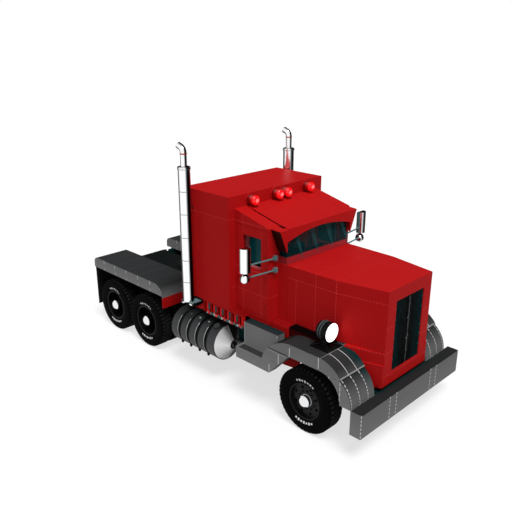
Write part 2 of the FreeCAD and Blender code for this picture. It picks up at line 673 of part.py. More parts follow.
# ---------------------------------------------------------------- brackets
def brackets():
    """Plates and straps that hang the body's pieces on the rails."""
    plate = side_profile([(540, RAIL_LOW + 4), (540, 960), (RAIL_FRONT, 960), (RAIL_FRONT, 850), (728, 740),
                          (BUMPER_BACK, 700), (FRONT_OVERHANG - SKIN, 700), (FRONT_OVERHANG - SKIN, 480),
                          (BUMPER_BACK, 480), (686, 640), (660, RAIL_LOW + 4)], RAIL_Y, RAIL_Y + 16)
    arm = box(RAIL_FRONT - 40, HINGE_X, RAIL_Y, RAIL_Y + 16, HINGE_Z - 20, HINGE_Z + 22)
    boss = rod(30, (HINGE_X, RAIL_Y, HINGE_Z), (HINGE_X, RAIL_Y + 16, HINGE_Z))
    pin = rod(HINGE_PIN_RADIUS, (HINGE_X, RAIL_Y, HINGE_Z), (HINGE_X, RAIL_Y + 70, HINGE_Z))
    shelf = box(690, BUMPER_BACK - 6, RAIL_Y + 10, FENDER_IN - 9, SHELF_Z, SHELF_Z + SKIN)
    web = side_profile([(690, SHELF_Z + 2), (760, SHELF_Z + 2), (700, SHELF_Z - 50), (690, SHELF_Z - 50)],
                       RAIL_Y + 10, RAIL_Y + 30)
    horn = fuse([plate, arm, boss, pin, shelf, web])
    middle = fuse([box(690, BUMPER_BACK - 6, -RAIL_Y, RAIL_Y, SHELF_Z, SHELF_Z + SKIN),
                   box(690, 702, -RAIL_Y, RAIL_Y, SHELF_Z - 60, SHELF_Z + 2)])

    stay = []
    for x in (AXLE2_X + 384, BOGIE_CENTRE, AXLE3_X - 404):
        stay.append(box(x - 35, x + 35, RAIL_Y, REAR_FENDER_IN + SKIN, RAIL_TOP - 90, REAR_FENDER_LOW))
    step_arm = [box(x - 30, x + 30, RAIL_Y, STEP_LOW_IN, 820, 910) for x in (-840, -1290)]
    mount = []
    for x in (-1150, -1650, -2700):
        mount.append(box(x - 45, x + 45, RAIL_IN + 10, RAIL_Y - 5, RAIL_TOP, CAB_FLOOR_LOW))
    shelf = box(STACK_X - 105, STACK_X + 175, SLEEPER_HALF - 85, STACK_Y + 78, MUFFLER_LOW - 12, MUFFLER_LOW)
    shelf = shelf.cut(rod(CROSSOVER_RADIUS + SEAT_GAP, (STACK_X, STACK_Y, 1200), (STACK_X, STACK_Y, 1400)))
    riser = box(STACK_X - 105, STACK_X + 175, SLEEPER_HALF - 85, SLEEPER_HALF - 25, MUFFLER_LOW, CAB_FLOOR_LOW)
    stay.append(fuse([shelf, riser]))
    upper = box(STACK_X - 40, STACK_X + 40, SLEEPER_HALF, STACK_Y, 2900, 2940)
    upper = upper.cut(rod(MUFFLER_RADIUS + SEAT_GAP, (STACK_X, STACK_Y, 2800), (STACK_X, STACK_Y, 3000)))
    stay.append(upper)
    solids = [horn] + stay + step_arm + mount + tank_straps()
    write("chassis_brackets", Part.makeCompound([pair(s) for s in solids] + [middle]))


def tank_straps():
    """Bands in the tank's grooves, each with a saddle to the rail."""
    straps = []
    for i in range(TANK_RINGS - 1):
        x1 = TANK_FRONT - TANK_RING_LENGTH - i * TANK_PITCH - 3
        x0 = x1 - STRAP_WIDTH + 6
        inside = TANK_RADIUS - STRAP_DEPTH + SEAT_GAP
        band = rod(TANK_RADIUS - STRAP_SUNK, (x0, TANK_Y, TANK_Z), (x1, TANK_Y, TANK_Z))
        saddle = box(x0, x1, RAIL_Y, TANK_Y, RAIL_LOW + 10, RAIL_LOW + 90)
        strap = fuse([band, saddle]).cut(rod(inside, (x0 - 5, TANK_Y, TANK_Z), (x1 + 5, TANK_Y, TANK_Z)))
        straps.append(strap)
    return straps


# ---------------------------------------------------------------- tanks, steps, exhaust
def tanks():
    """Ribbed fuel tank with a conical front end."""
    steps = [(0, CONE_LENGTH), (CONE_TIP_RADIUS, CONE_LENGTH), (TANK_RADIUS - STRAP_DEPTH, 0)]
    for i in range(TANK_RINGS):
        start = -i * TANK_PITCH
        end = start - TANK_RING_LENGTH
        steps += [(TANK_RADIUS, start), (TANK_RADIUS, end)]
        if i < TANK_RINGS - 1:
            steps += [(TANK_RADIUS - STRAP_DEPTH, end), (TANK_RADIUS - STRAP_DEPTH, end - STRAP_WIDTH)]
    steps += [(TANK_RADIUS - 60, end - 34), (0, end - 34)]
    barrel = turned(steps, (TANK_FRONT, TANK_Y, TANK_Z), (1, 0, 0))
    dish = rod(CONE_TIP_RADIUS * 0.45, (TANK_FRONT + CONE_LENGTH - 25, TANK_Y, TANK_Z),
               (TANK_FRONT + CONE_LENGTH + 5, TANK_Y, TANK_Z))
    line = rod(FUEL_LINE_RADIUS, (TANK_FRONT + CONE_LENGTH - 40, TANK_Y - 48, TANK_Z + 76),
               (STEP_LOW_REAR, TANK_Y - 48, TANK_Z + 76))
    up = V(0, math.sin(FILLER_LEAN), math.cos(FILLER_LEAN))
    seat = V(TANK_FRONT - TANK_RING_LENGTH / 2, TANK_Y, TANK_Z) + up * (TANK_RADIUS - 30)
    neck = Part.makeCylinder(FILLER_RADIUS, 30 + 22, seat, up)
    cap = Part.makeCylinder(FILLER_RADIUS + 12, 20, seat + up * 48, up)
    write("fuel_tanks", pair(fuse([barrel.cut(dish), line, neck, cap])))


def steps():
    """Upper tool box, lower step box with a sunk tread pad, and a side plate that sweeps up behind the wheel."""
    high = box(STEP_HIGH_REAR, STEP_HIGH_FRONT, STEP_HIGH_IN, STEP_HIGH_OUT, STEP_LOW_TOP, STEP_HIGH_TOP)
    low = box(STEP_LOW_REAR, STEP_LOW_FRONT, STEP_LOW_IN, STEP_LOW_OUT, STEP_LOW_BOTTOM, STEP_LOW_TOP)
    wing = side_profile([(STEP_PAD_FRONT, STEP_LOW_BOTTOM), (-660, STEP_LOW_BOTTOM), (-463, 955),
                         (-312, STEP_WING_TOP - 4), (-312, STEP_WING_TOP), (-716, STEP_WING_TOP), (-770, 1055),
                         (STEP_PAD_FRONT, STEP_LOW_TOP)], STEP_HIGH_OUT - 10, STEP_LOW_OUT)
    turning_room = TYRE_RADIUS + WING_CLEARANCE
    wing = wing.cut(rod(turning_room, (0, STEP_HIGH_OUT - 20, TYRE_RADIUS), (0, STEP_LOW_OUT + 10, TYRE_RADIUS)))
    tread = box(STEP_LOW_REAR + 38, STEP_PAD_FRONT, STEP_HIGH_OUT + 4, STEP_LOW_OUT - 5,
                STEP_LOW_TOP - 12, STEP_LOW_TOP + 5)
    write("step_boxes", pair(fuse([high, low]).cut(tread).fuse(wing).removeSplitter()))


def battery_boxes():
    """Battery box with an overhanging lid on each rail, between the tank and the steps."""
    body = box(BATTERY_REAR, BATTERY_FRONT, RAIL_Y, BATTERY_OUT, BATTERY_LOW, BATTERY_HIGH - BATTERY_LID)
    lid = box(BATTERY_REAR - 6, BATTERY_FRONT + 6, RAIL_Y, BATTERY_OUT + 6, BATTERY_HIGH - BATTERY_LID, BATTERY_HIGH)
    write("battery_boxes", pair(fuse([body, lid])))


def stack():
    """Left exhaust stack: muffler, tail pipe and an open elbow that turns rearwards."""
    muffler = Part.makeCylinder(MUFFLER_RADIUS, MUFFLER_HIGH - MUFFLER_LOW, V(STACK_X, STACK_Y, MUFFLER_LOW))
    collar = Part.makeCylinder(MUFFLER_RADIUS + 8, 26, V(STACK_X, STACK_Y, MUFFLER_HIGH - 40))
    tail = Part.makeCylinder(TAIL_RADIUS, TAIL_BEND_Z - MUFFLER_HIGH, V(STACK_X, STACK_Y, MUFFLER_HIGH))
    ring = Part.makeCylinder(TAIL_RADIUS + 5, 14, V(STACK_X, STACK_Y, TAIL_BEND_Z - 14))
    solid = fuse([muffler, collar, tail, ring, bend(TAIL_RADIUS)])
    return solid.cut(bend(TAIL_RADIUS - TAIL_WALL))


def bend(radius):
    """Quarter turn from vertical to rearwards, with a short straight tip."""
    start = V(STACK_X, STACK_Y, TAIL_BEND_Z)
    circle = Part.Wire([Part.Circle(start, V(0, 0, 1), radius).toShape()])
    centre = start + V(-TAIL_BEND_RADIUS, 0, 0)
    elbow = Part.Face(circle).revolve(centre, V(0, -1, 0), 70)
    a = math.radians(70)
    end = centre + V(TAIL_BEND_RADIUS * math.cos(a), 0, TAIL_BEND_RADIUS * math.sin(a))
    way = V(-math.sin(a), 0, math.cos(a))
    tip = Part.makeCylinder(radius, TAIL_TIP, end, way)
    return elbow.fuse(tip)


def exhaust():
    """Both stacks, and the pipe below the sleeper that feeds them."""
    write("exhaust_stacks", pair(stack()))
    thin = CROSSOVER_RADIUS - 4
    foot = CROSSOVER_Z - CROSSOVER_RADIUS - 6
    pieces = [rod(thin, (STACK_X, -STACK_Y, CROSSOVER_Z), (STACK_X, STACK_Y, CROSSOVER_Z))]
    pieces.append(rod(thin - 4, (STACK_X, 0, CROSSOVER_Z), (ENGINE_REAR, 0, CROSSOVER_Z)))
    for side in (-STACK_Y, STACK_Y):
        pieces.append(rod(CROSSOVER_RADIUS, (STACK_X, side, foot), (STACK_X, side, MUFFLER_LOW)))
    write("exhaust_piping", fuse(pieces))


# ---------------------------------------------------------------- rear body
def rear_fenders():
    """Flat-topped fender over both driven axles, open below, and its rubber flap."""
    rear = REAR_END
    def shape(inset):
        top = REAR_FENDER_TOP - inset
        back = rear + inset
        front = REAR_FENDER_FRONT - inset
        low = REAR_FENDER_LOW
        steps = [(back, low), (back, top - 110 + inset)]
        steps.append((back + 30 - 0.3 * inset, top - 32 + 0.3 * inset, back + 100 - inset, top))
        steps.append((front - 255 + inset, top))
        if inset:
            steps.append((front - 84 + 0.3 * inset, top - 72 + 0.3 * inset, front, low + 10))
            steps.append((front, low))
        else:
            steps.append((front - 84, top - 72, front, REAR_FENDER_FRONT_LOW))
            steps += [(front - 16, REAR_FENDER_FRONT_LOW), (front - 16, low)]
        return steps
    outer = side_profile(shape(0), REAR_FENDER_IN, REAR_FENDER_OUT)
    inner = side_profile(shape(SKIN), REAR_FENDER_IN + SKIN, REAR_FENDER_OUT - SKIN)
    inner = inner.fuse(box(rear + SKIN, REAR_FENDER_FRONT - SKIN - 4, REAR_FENDER_IN + SKIN,
                           REAR_FENDER_OUT - SKIN, REAR_FENDER_LOW - 5, REAR_FENDER_LOW + 5))
    write("rear_fenders", pair(outer.cut(inner)))
    flap_top = REAR_FENDER_LOW + FLAP_LAP
    flap = box(rear + SKIN, rear + SKIN + 10, FLAP_IN, REAR_FENDER_OUT - SKIN, FLAP_LOW, flap_top)
    write("mud_flaps", pair(flap))


def ribbed_skirt(first, count, out):
    """Skirt of upright ribs on a plate, with an open slot after every second rib."""
    last = first - (count - 1) * FIN_PITCH - FIN_WIDTH
    inside = out - FIN_DEPTH
    rail = box(last, first, inside, out, CAB_FLOOR_LOW - 26, CAB_FLOOR_LOW)
    plate = box(last, first, inside, inside + FIN_PLATE, FIN_LOW, CAB_FLOOR_LOW - 20)
    pieces = [rail, plate]
    slots = []
    for i in range(count):
        x1 = first - i * FIN_PITCH
        pieces.append(box(x1 - FIN_WIDTH, x1, inside, out - 4, FIN_LOW, CAB_FLOOR_LOW - 20))
        middle = x1 - (FIN_WIDTH + FIN_PITCH) / 2
        if i % 2 == 1 and i < count - 1:
            slots.append(box(middle - FIN_SLOT / 2, middle + FIN_SLOT / 2, inside - 5, inside + FIN_PLATE + 5,
                             FIN_SLOT_LOW, FIN_SLOT_HIGH))
    return fuse(pieces).cut(Part.makeCompound(slots))


def side_panels():
    """Red lower panels: a ribbed skirt below sleeper and cab, and plates before the driven wheels."""
    tank_tip = TANK_FRONT + CONE_LENGTH + 30
    keep_off = rod(TANK_RADIUS + 25, (TANK_REAR - 60, TANK_Y, TANK_Z), (tank_tip, TANK_Y, TANK_Z))
    skirt = ribbed_skirt(FIN_FIRST, FIN_COUNT, SLEEPER_HALF - 5)
    ledge = box(CAB_REAR, FIN_FIRST, CAB_HALF - 60, SLEEPER_HALF - 10, CAB_FLOOR_LOW - 26, CAB_FLOOR_LOW)
    sill = box(CAB_REAR, CAB_FRONT - 4, CAB_HALF - 60, CAB_HALF - 4, CAB_FLOOR_LOW - SILL_DEPTH, CAB_FLOOR_LOW)
    skirt = fuse([skirt, ledge, sill]).cut(keep_off)
    plate = box(REAR_FENDER_FRONT - 16, REAR_FENDER_FRONT, REAR_FENDER_IN, REAR_FENDER_OUT,
                PANEL_LOW, REAR_FENDER_FRONT_LOW)
    write("side_panels", Part.makeCompound([pair(skirt), pair(plate)]))


# ---------------------------------------------------------------- fifth wheel
def fifth_wheel():
    """Tilting coupling plate with a throat to its kingpin socket, on two feet."""
    top = COUPLING_TOP
    x = COUPLING_X
    r = COUPLING_RADIUS
    disc = Part.makeCylinder(r, COUPLING_PLATE, V(x, 0, top - COUPLING_PLATE))
    ears = []
    low = COUPLING_PIVOT_Z - 44
    for y in (-COUPLING_FOOT_Y, COUPLING_FOOT_Y):
        ears.append(box(x - 60, x + 60, y - 30, y + 30, low, top - COUPLING_PLATE))
    handle_x = x - r + 200
    handle_z = top - COUPLING_PLATE - 14
    hanger = box(handle_x - 16, handle_x + 16, 170, 210, handle_z - 14, top - COUPLING_PLATE)
    handle = rod(9, (handle_x, 190, handle_z), (handle_x, 490, handle_z))
    grip = rod(15, (handle_x, 420, handle_z), (handle_x, 500, handle_z))
    plate = fuse([disc, hanger, handle, grip] + ears)
    lead = 60
    throat = plan_profile([(x - lead, -KINGPIN_SOCKET), (x - lead, KINGPIN_SOCKET), (x - r - 10, THROAT_HALF),
                           (x - r - 10, -THROAT_HALF)], low - 5, top + 5)
    slot = box(x - lead - 1, x, -KINGPIN_SOCKET, KINGPIN_SOCKET, low - 5, top + 5)
    socket = Part.makeCylinder(KINGPIN_SOCKET, 200, V(x, 0, top - 150))
    pins = [rod(COUPLING_PIVOT_RADIUS + PIN_CLEARANCE, (x, y - 70, COUPLING_PIVOT_Z), (x, y + 70, COUPLING_PIVOT_Z))
            for y in (-COUPLING_FOOT_Y, COUPLING_FOOT_Y)]
    write("fifth_wheel", plate.cut(Part.makeCompound([throat, slot, socket] + pins)))
    foot = []
    gap = 30 + MOVING_GAP
    for side in (-1, 1):
        y0 = COUPLING_FOOT_Y + side * gap
        y1 = COUPLING_FOOT_Y + side * (gap + 22)
        cheek = side_profile([(x - 170, DECK_TOP), (x + 170, DECK_TOP), (x + 60, COUPLING_PIVOT_Z + 10),
                              (x + 30, COUPLING_PIVOT_Z + 34), (x - 30, COUPLING_PIVOT_Z + 34),
                              (x - 60, COUPLING_PIVOT_Z + 10)], y0, y1)
        foot.append(cheek)
    foot.append(rod(COUPLING_PIVOT_RADIUS, (x, COUPLING_FOOT_Y - gap - 10, COUPLING_PIVOT_Z),
                    (x, COUPLING_FOOT_Y + gap + 10, COUPLING_PIVOT_Z)))
    foot.append(box(x - 190, x + 190, COUPLING_FOOT_Y - gap - 22, COUPLING_FOOT_Y + gap + 22, DECK_TOP, DECK_TOP + 14))
    write("fifth_wheel_feet", pair(fuse(foot)))


# ---------------------------------------------------------------- hood group
def hood_half(x):
    """Half width of the hood's upper body at a station."""
    if x >= KINK_X:
        return NOSE_HALF + (KINK_HALF - NOSE_HALF) * (NOSE_X - x) / (NOSE_X - KINK_X)
    return KINK_HALF + (COWL_HALF - KINK_HALF) * (KINK_X - x) / (KINK_X - CAB_FRONT)


def nose_plan(wider, inset, back):
    """Plan of the lower nose, wider by a step and inset by a wall."""
    slope = (CHEEK_HALF - NOSE_HALF) / (NOSE_X - CHEEK_X)
    front = NOSE_X - inset
    half_front = NOSE_HALF + wider - inset
    half_back = NOSE_HALF + wider - inset + slope * (NOSE_X - back)
    return both_sides([(front, half_front), (back, half_back)])


def upper_plan(inset, rear, front_inset):
    """Plan of the hood's upper body, inset by a wall."""
    rows = [(NOSE_X - front_inset, NOSE_HALF - inset), (KINK_X, KINK_HALF - inset), (rear, hood_half(rear) - inset)]
    return both_sides(rows)


def hood():
    """Tilting hood: tapered upper body, stepped lower nose, grille opening and hinge lugs."""
    upper = plan_profile(upper_plan(0, HOOD_REAR, 0), HOOD_SIDE_LOW, HOOD_TOP)
    cheek = plan_profile(nose_plan(0, 0, CHEEK_X), CHEEK_STEP_Z, HOOD_SIDE_LOW)
    chin = plan_profile(nose_plan(CHEEK_STEP, 0, CHEEK_X), NOSE_LOW, CHEEK_STEP_Z)
    chin = chin.common(box(CHIN_X, NOSE_X, -1000, 1000, NOSE_LOW, CHEEK_STEP_Z))
    solid = fuse([upper, cheek, chin])
    inner = plan_profile(upper_plan(SKIN, HOOD_REAR - 50, SKIN), HOOD_SIDE_LOW - 20, HOOD_TOP - SKIN)
    cheek_in = plan_profile(nose_plan(0, SKIN, CHEEK_X - 50), NOSE_LOW - 20, HOOD_SIDE_LOW - SKIN)
    shell = solid.cut(inner).cut(cheek_in)
    opening = box(NOSE_X - 60, NOSE_X + 60, -GRILLE_HALF, GRILLE_HALF, GRILLE_LOW, GRILLE_HIGH)
    shell = shell.cut(opening)
    lugs = []
    for side in (-1, 1):
        y0 = side * (RAIL_Y + 40)
        y1 = side * (RAIL_Y + 58)
        lugs.append(box(HINGE_X, NOSE_X - SKIN / 2, y0, y1, HINGE_Z - 28, HINGE_Z + 60))
        lugs.append(rod(32, (HINGE_X, y0, HINGE_Z), (HINGE_X, y1, HINGE_Z)))
    shell = fuse([shell] + lugs)
    hole = HINGE_PIN_RADIUS + PIN_CLEARANCE
    shell = shell.cut(rod(hole, (HINGE_X, -700, HINGE_Z), (HINGE_X, 700, HINGE_Z)))
    write("hood", shell)


def nose_block():
    """Outer volume of the lower nose, which the fenders are trimmed against."""
    cheek = plan_profile(nose_plan(0, 0, CHEEK_X), CHEEK_STEP_Z, HOOD_SIDE_LOW)
    chin = plan_profile(nose_plan(CHEEK_STEP, 0, CHEEK_X), NOSE_LOW, CHEEK_STEP_Z)
    return fuse([cheek, chin])


def grille():
    """Black grille: frame, upright bars and four cross ties."""
    border = 22
    back = NOSE_X - SKIN - 34
    front = NOSE_X - SKIN
    y = GRILLE_HALF - SEAT_GAP
    z0 = GRILLE_LOW + SEAT_GAP
    z1 = GRILLE_HIGH - SEAT_GAP
    frame_box = box(back, front, -y, y, z0, z1)
    hole = box(back - 5, front + 5, -y + border, y - border, z0 + border, z1 - border)
    lip = box(NOSE_X - SKIN - 8, NOSE_X - SKIN, -y - 18, y + 18, z0 - 18, z1 + 18)
    lip = lip.cut(box(back, NOSE_X, -y + 1, y - 1, z0 + 1, z1 - 1))
    pieces = [frame_box.cut(hole), lip]
    clear = 2 * (y - border)
    pitch = clear / GRILLE_BARS
    for i in range(GRILLE_BARS):
        middle = -clear / 2 + pitch * (i + 0.5)
        wide = 22 if i == GRILLE_BARS // 2 else 15
        pieces.append(box(back + 6, front - 2, middle - wide / 2, middle + wide / 2, z0 + 5, z1 - 5))
    ties = 5
    for i in range(1, ties):
        z = z0 + (z1 - z0) * i / ties
        pieces.append(box(back + 2, back + 12, -y + 5, y - 5, z - 9, z + 9))
    write("grille", fuse(pieces))


def step_clearance(wall):
    """Space the fender's tip leaves round the upper step box, grown by a wall."""
    grow = STEP_GAP + wall
    return box(STEP_HIGH_REAR, STEP_HIGH_FRONT + grow, FENDER_IN - 10, STEP_HIGH_OUT + grow, FENDER_LOW - 50, FENDER_TOP + 50)


def front_fenders():
    """Deep front fender: flat crown, two forward segments with a ledge, and a swept rear tip."""
    top = FENDER_TOP
    low = FENDER_LOW
    r = TYRE_RADIUS
    steps = [(-r - 211, low), (-r - 75, top - 92, 89 - r, top - 20), (205 - r, top), (r - 232, top)]
    steps += [(r - 27, top - 62, r + 127, top - 196), (r + 127, top - 212), (r + 110, top - 212)]
    steps += [(FENDER_FRONT - 53, top - 380, FENDER_FRONT, top - 588)]
    steps += [(r + 131, top - 588), (r + 27, low - 118, r - 224, low)]
    face = outline(steps, lambda a, b: V(a, FENDER_IN, b))
    solid = face.extrude(V(0, FENDER_OUT - FENDER_IN, 0)).cut(step_clearance(0))
    inset = face.makeOffset2D(-SKIN)
    cavity = inset.extrude(V(0, FENDER_OUT - FENDER_IN - SKIN, 0)).cut(step_clearance(SKIN))
    shell = solid.cut(cavity)
    rail = box(-190, CHEEK_X, FENDER_IN, hood_half(-190), top - SKIN, HOOD_SIDE_LOW)
    shell = fuse([shell, rail]).cut(nose_block())
    write("front_fenders", pair(shell))


def headlights():
    """Round lamp pod on a pedestal and a square base plate."""
    back = LAMP_FACE_X - LAMP_LENGTH
    steps = [(0, 0), (96, 0), (126, 14), (LAMP_RADIUS, 46), (LAMP_RADIUS, LAMP_LENGTH - 14)]
    steps += [(LAMP_RADIUS - 8, LAMP_LENGTH), (0, LAMP_LENGTH)]
    pod = turned(steps, (back, LAMP_Y, LAMP_Z), (1, 0, 0))
    middle = LAMP_FACE_X - 90
    half = LAMP_PLATE / 2
    plate = box(middle - half, middle + half, LAMP_Y - half, LAMP_Y + half, FENDER_TOP, FENDER_TOP + 12)
    foot = front_profile([(LAMP_Y - 75, FENDER_TOP + 5), (LAMP_Y + 75, FENDER_TOP + 5),
                          (LAMP_Y + 38, LAMP_Z - 60), (LAMP_Y - 38, LAMP_Z - 60)], middle - 45, middle + 45)
    lamp = fuse([pod, plate, foot])
    write("headlights", pair(lamp))


# ---------------------------------------------------------------- cab
def roof_z(x):
    """Height of the cab roof's outside at a station."""
    share = (CAB_FRONT - x) / (CAB_FRONT - CAB_REAR)
    return CAB_ROOF_FRONT + (CAB_ROOF_REAR - CAB_ROOF_FRONT) * share


def cab_shell():
    """Hollow cab: floor, firewall, roof, pillars round both doorways, and the fixed cowl."""
    outer = side_profile([(CAB_FRONT, CAB_FLOOR_LOW), (CAB_FRONT, CAB_ROOF_FRONT), (CAB_REAR, CAB_ROOF_REAR),
                          (CAB_REAR, CAB_FLOOR_LOW)], -CAB_HALF, CAB_HALF)
    front = CAB_FRONT - FIREWALL
    wide = CAB_HALF - CAB_WALL
    inner = side_profile([(front, CAB_FLOOR), (front, roof_z(front) - ROOF_THICKNESS),
                          (CAB_REAR - 100, roof_z(CAB_REAR - 100) - ROOF_THICKNESS), (CAB_REAR - 100, CAB_FLOOR)],
                         -wide, wide)
    shell = outer.cut(inner)
    gap = MOVING_GAP
    doorway = box(DOOR_FRONT + gap, DOOR_REAR - gap, -2000, 2000, DOOR_LOW - gap, DOOR_TOP + gap)
    screen = box(CAB_FRONT + 50, front - 5, -WINDSCREEN_HALF + 10, WINDSCREEN_HALF - 10, HOOD_TOP + 6, WINDSCREEN_TOP - 10)
    shell = shell.cut(doorway).cut(screen)
    cowl_front = HOOD_REAR - 5
    rows = [(cowl_front, hood_half(cowl_front)), (CAB_FRONT, COWL_HALF)]
    cowl = plan_profile(both_sides(rows), HOOD_SIDE_LOW, HOOD_TOP)
    rows = [(cowl_front + 10, hood_half(cowl_front) - SKIN), (CAB_FRONT, COWL_HALF - SKIN)]
    cowl = cowl.cut(plan_profile(both_sides(rows), HOOD_SIDE_LOW - 10, HOOD_TOP - SKIN))
    pieces = [shell, cowl]
    for y, z, height in hinge_knuckles(0):
        pieces.append(Part.makeCylinder(DOOR_KNUCKLE_RADIUS, height, V(DOOR_HINGE_X, y, z)))
        pieces.append(Part.makeCylinder(DOOR_PIN_RADIUS, 84, V(DOOR_HINGE_X, y, z)))
        leaf_y = (y, CAB_HALF * (1 if y > 0 else -1))
        pieces.append(box(DOOR_HINGE_X, DOOR_HINGE_X + 22, leaf_y[0], leaf_y[1], z, z + height))
    write("cab_shell", fuse(pieces))


def hinge_knuckles(upper):
    """Hinge knuckle places: (y, low end, height); upper is 1 for the door's half of each hinge."""
    rows = []
    for side in (-1, 1):
        y = side * (CAB_HALF + DOOR_HINGE_OUT)
        for z in DOOR_HINGE_HEIGHTS:
            rows.append((y, z + 43 * upper, 40))
    return rows


def door():
    """Left door: full-thickness slab, window cut, glass rebate and hinge knuckles."""
    y0 = CAB_HALF - CAB_WALL
    slab = box(DOOR_REAR, DOOR_FRONT, y0, CAB_HALF, DOOR_LOW, DOOR_TOP)
    window = box(WINDOW_REAR, WINDOW_FRONT, y0 - 10, CAB_HALF + 10, WINDOW_LOW, WINDOW_TOP)
    pocket = box(WINDOW_REAR, WINDOW_FRONT, y0 - 1, y0 + 22, DOOR_LOW + 160, WINDOW_LOW - 120)
    pieces = [slab.cut(window).cut(pocket)]
    for y, z, height in hinge_knuckles(1):
        if y > 0:
            pieces.append(Part.makeCylinder(DOOR_KNUCKLE_RADIUS, height, V(DOOR_HINGE_X, y, z)))
            pieces.append(box(DOOR_FRONT - 24, DOOR_HINGE_X, CAB_HALF, y, z, z + height))
    pull = box(HANDLE_REAR, HANDLE_FRONT, CAB_HALF + 22, CAB_HALF + 34, HANDLE_Z - 14, HANDLE_Z + 14)
    posts = [box(px - 9, px + 9, CAB_HALF - 5, CAB_HALF + 24, HANDLE_Z - 11, HANDLE_Z + 11)
             for px in (HANDLE_REAR + 14, HANDLE_FRONT - 14)]
    body = fuse(pieces + [pull] + posts)
    for y, z, height in hinge_knuckles(1):
        if y > 0:
            hole = Part.makeCylinder(DOOR_PIN_RADIUS + PIN_CLEARANCE, 60, V(DOOR_HINGE_X, y, z - 5))
            body = body.cut(hole)
    return body


def doors():
    """Both doors and their fixed panes."""
    body = door()
    write("door_left", body)
    write("door_right", mirrored(body))
    middle = CAB_HALF - CAB_WALL / 2
    pane = box(WINDOW_REAR + SEAT_GAP, WINDOW_FRONT - SEAT_GAP, middle, middle + GLASS,
               WINDOW_LOW + SEAT_GAP, WINDOW_TOP - SEAT_GAP)
    write("door_glass_left", pane)
    write("door_glass_right", mirrored(pane))


def windscreen():
    """Raked windscreen with a short side pane at each end."""
    def steps(inset):
        foot = WINDSCREEN_FOOT_X - inset
        return [(foot, HOOD_TOP), (WINDSCREEN_TOP_X - inset, WINDSCREEN_TOP), (CAB_FRONT, WINDSCREEN_TOP),
                (CAB_FRONT, HOOD_TOP)]
    glass = side_profile(steps(0), -WINDSCREEN_HALF, WINDSCREEN_HALF)
    inner = side_profile(steps(GLASS), -WINDSCREEN_HALF + GLASS, WINDSCREEN_HALF - GLASS)
    write("windscreen", glass.cut(inner))


def roof_visor():
    """Brow over the windscreen with an arched front, and the raised roof panel behind it."""
    def section(inset):
        low = VISOR_LOW - (20 if inset else 0)
        return [(-VISOR_TOP_HALF + inset, VISOR_TOP_FRONT - inset), (VISOR_TOP_HALF - inset, VISOR_TOP_FRONT - inset),
                (VISOR_LOW_HALF - inset, low), (-VISOR_LOW_HALF + inset, low)]
    brow = front_profile(section(0), CAB_FRONT, VISOR_FRONT)
    wedge = side_profile([(CAB_FRONT, VISOR_TOP_FRONT), (CAB_FRONT, CAB_ROOF_FRONT), (VISOR_FRONT, VISOR_TOP_FRONT)],
                         -VISOR_TOP_HALF, VISOR_TOP_HALF)
    hollow = front_profile(section(SKIN), CAB_FRONT - 10, VISOR_FRONT - SKIN)
    arch = front_profile([(-ARCH_HALF, VISOR_LOW - 40), (-ARCH_HALF, ARCH_SPRING),
                          (0, ARCH_CROWN, ARCH_HALF, ARCH_SPRING), (ARCH_HALF, VISOR_LOW - 40)],
                         VISOR_FRONT - 60, VISOR_FRONT + 60)
    brow = fuse([brow, wedge]).cut(hollow).cut(arch)
    rise = ROOF_PANEL_RISE
    panel = side_profile([(VISOR_FRONT, VISOR_TOP_FRONT), (VISOR_FRONT, VISOR_TOP_FRONT + rise - 6),
                          (CAB_FRONT, CAB_ROOF_FRONT + rise), (ROOF_PANEL_REAR, roof_z(ROOF_PANEL_REAR) + rise),
                          (ROOF_PANEL_REAR, roof_z(ROOF_PANEL_REAR)), (CAB_FRONT, CAB_ROOF_FRONT)],
                         -ROOF_PANEL_HALF, ROOF_PANEL_HALF)
    write("roof_visor", fuse([brow, panel]))


def sleeper():
    """Hollow sleeper box with rounded rear edges and a passage to the cab."""
    outer = box(SLEEPER_REAR, CAB_REAR, -SLEEPER_HALF, SLEEPER_HALF, CAB_FLOOR_LOW, SLEEPER_TOP)
    rear_edges = [e for e in outer.Edges if e.BoundBox.XMax < SLEEPER_REAR + 1 and e.BoundBox.ZMax > CAB_FLOOR_LOW + 1]
    outer = outer.makeFillet(SLEEPER_EDGE, rear_edges)
    wall = SLEEPER_WALL
    inner = box(SLEEPER_REAR + wall, CAB_REAR - wall, -SLEEPER_HALF + wall, SLEEPER_HALF - wall,
                CAB_FLOOR, SLEEPER_TOP - wall)
    passage = box(CAB_REAR - wall - 5, CAB_REAR + 5, -PASSAGE_HALF, PASSAGE_HALF, CAB_FLOOR, PASSAGE_TOP)
    write("sleeper_shell", outer.cut(inner).cut(passage))


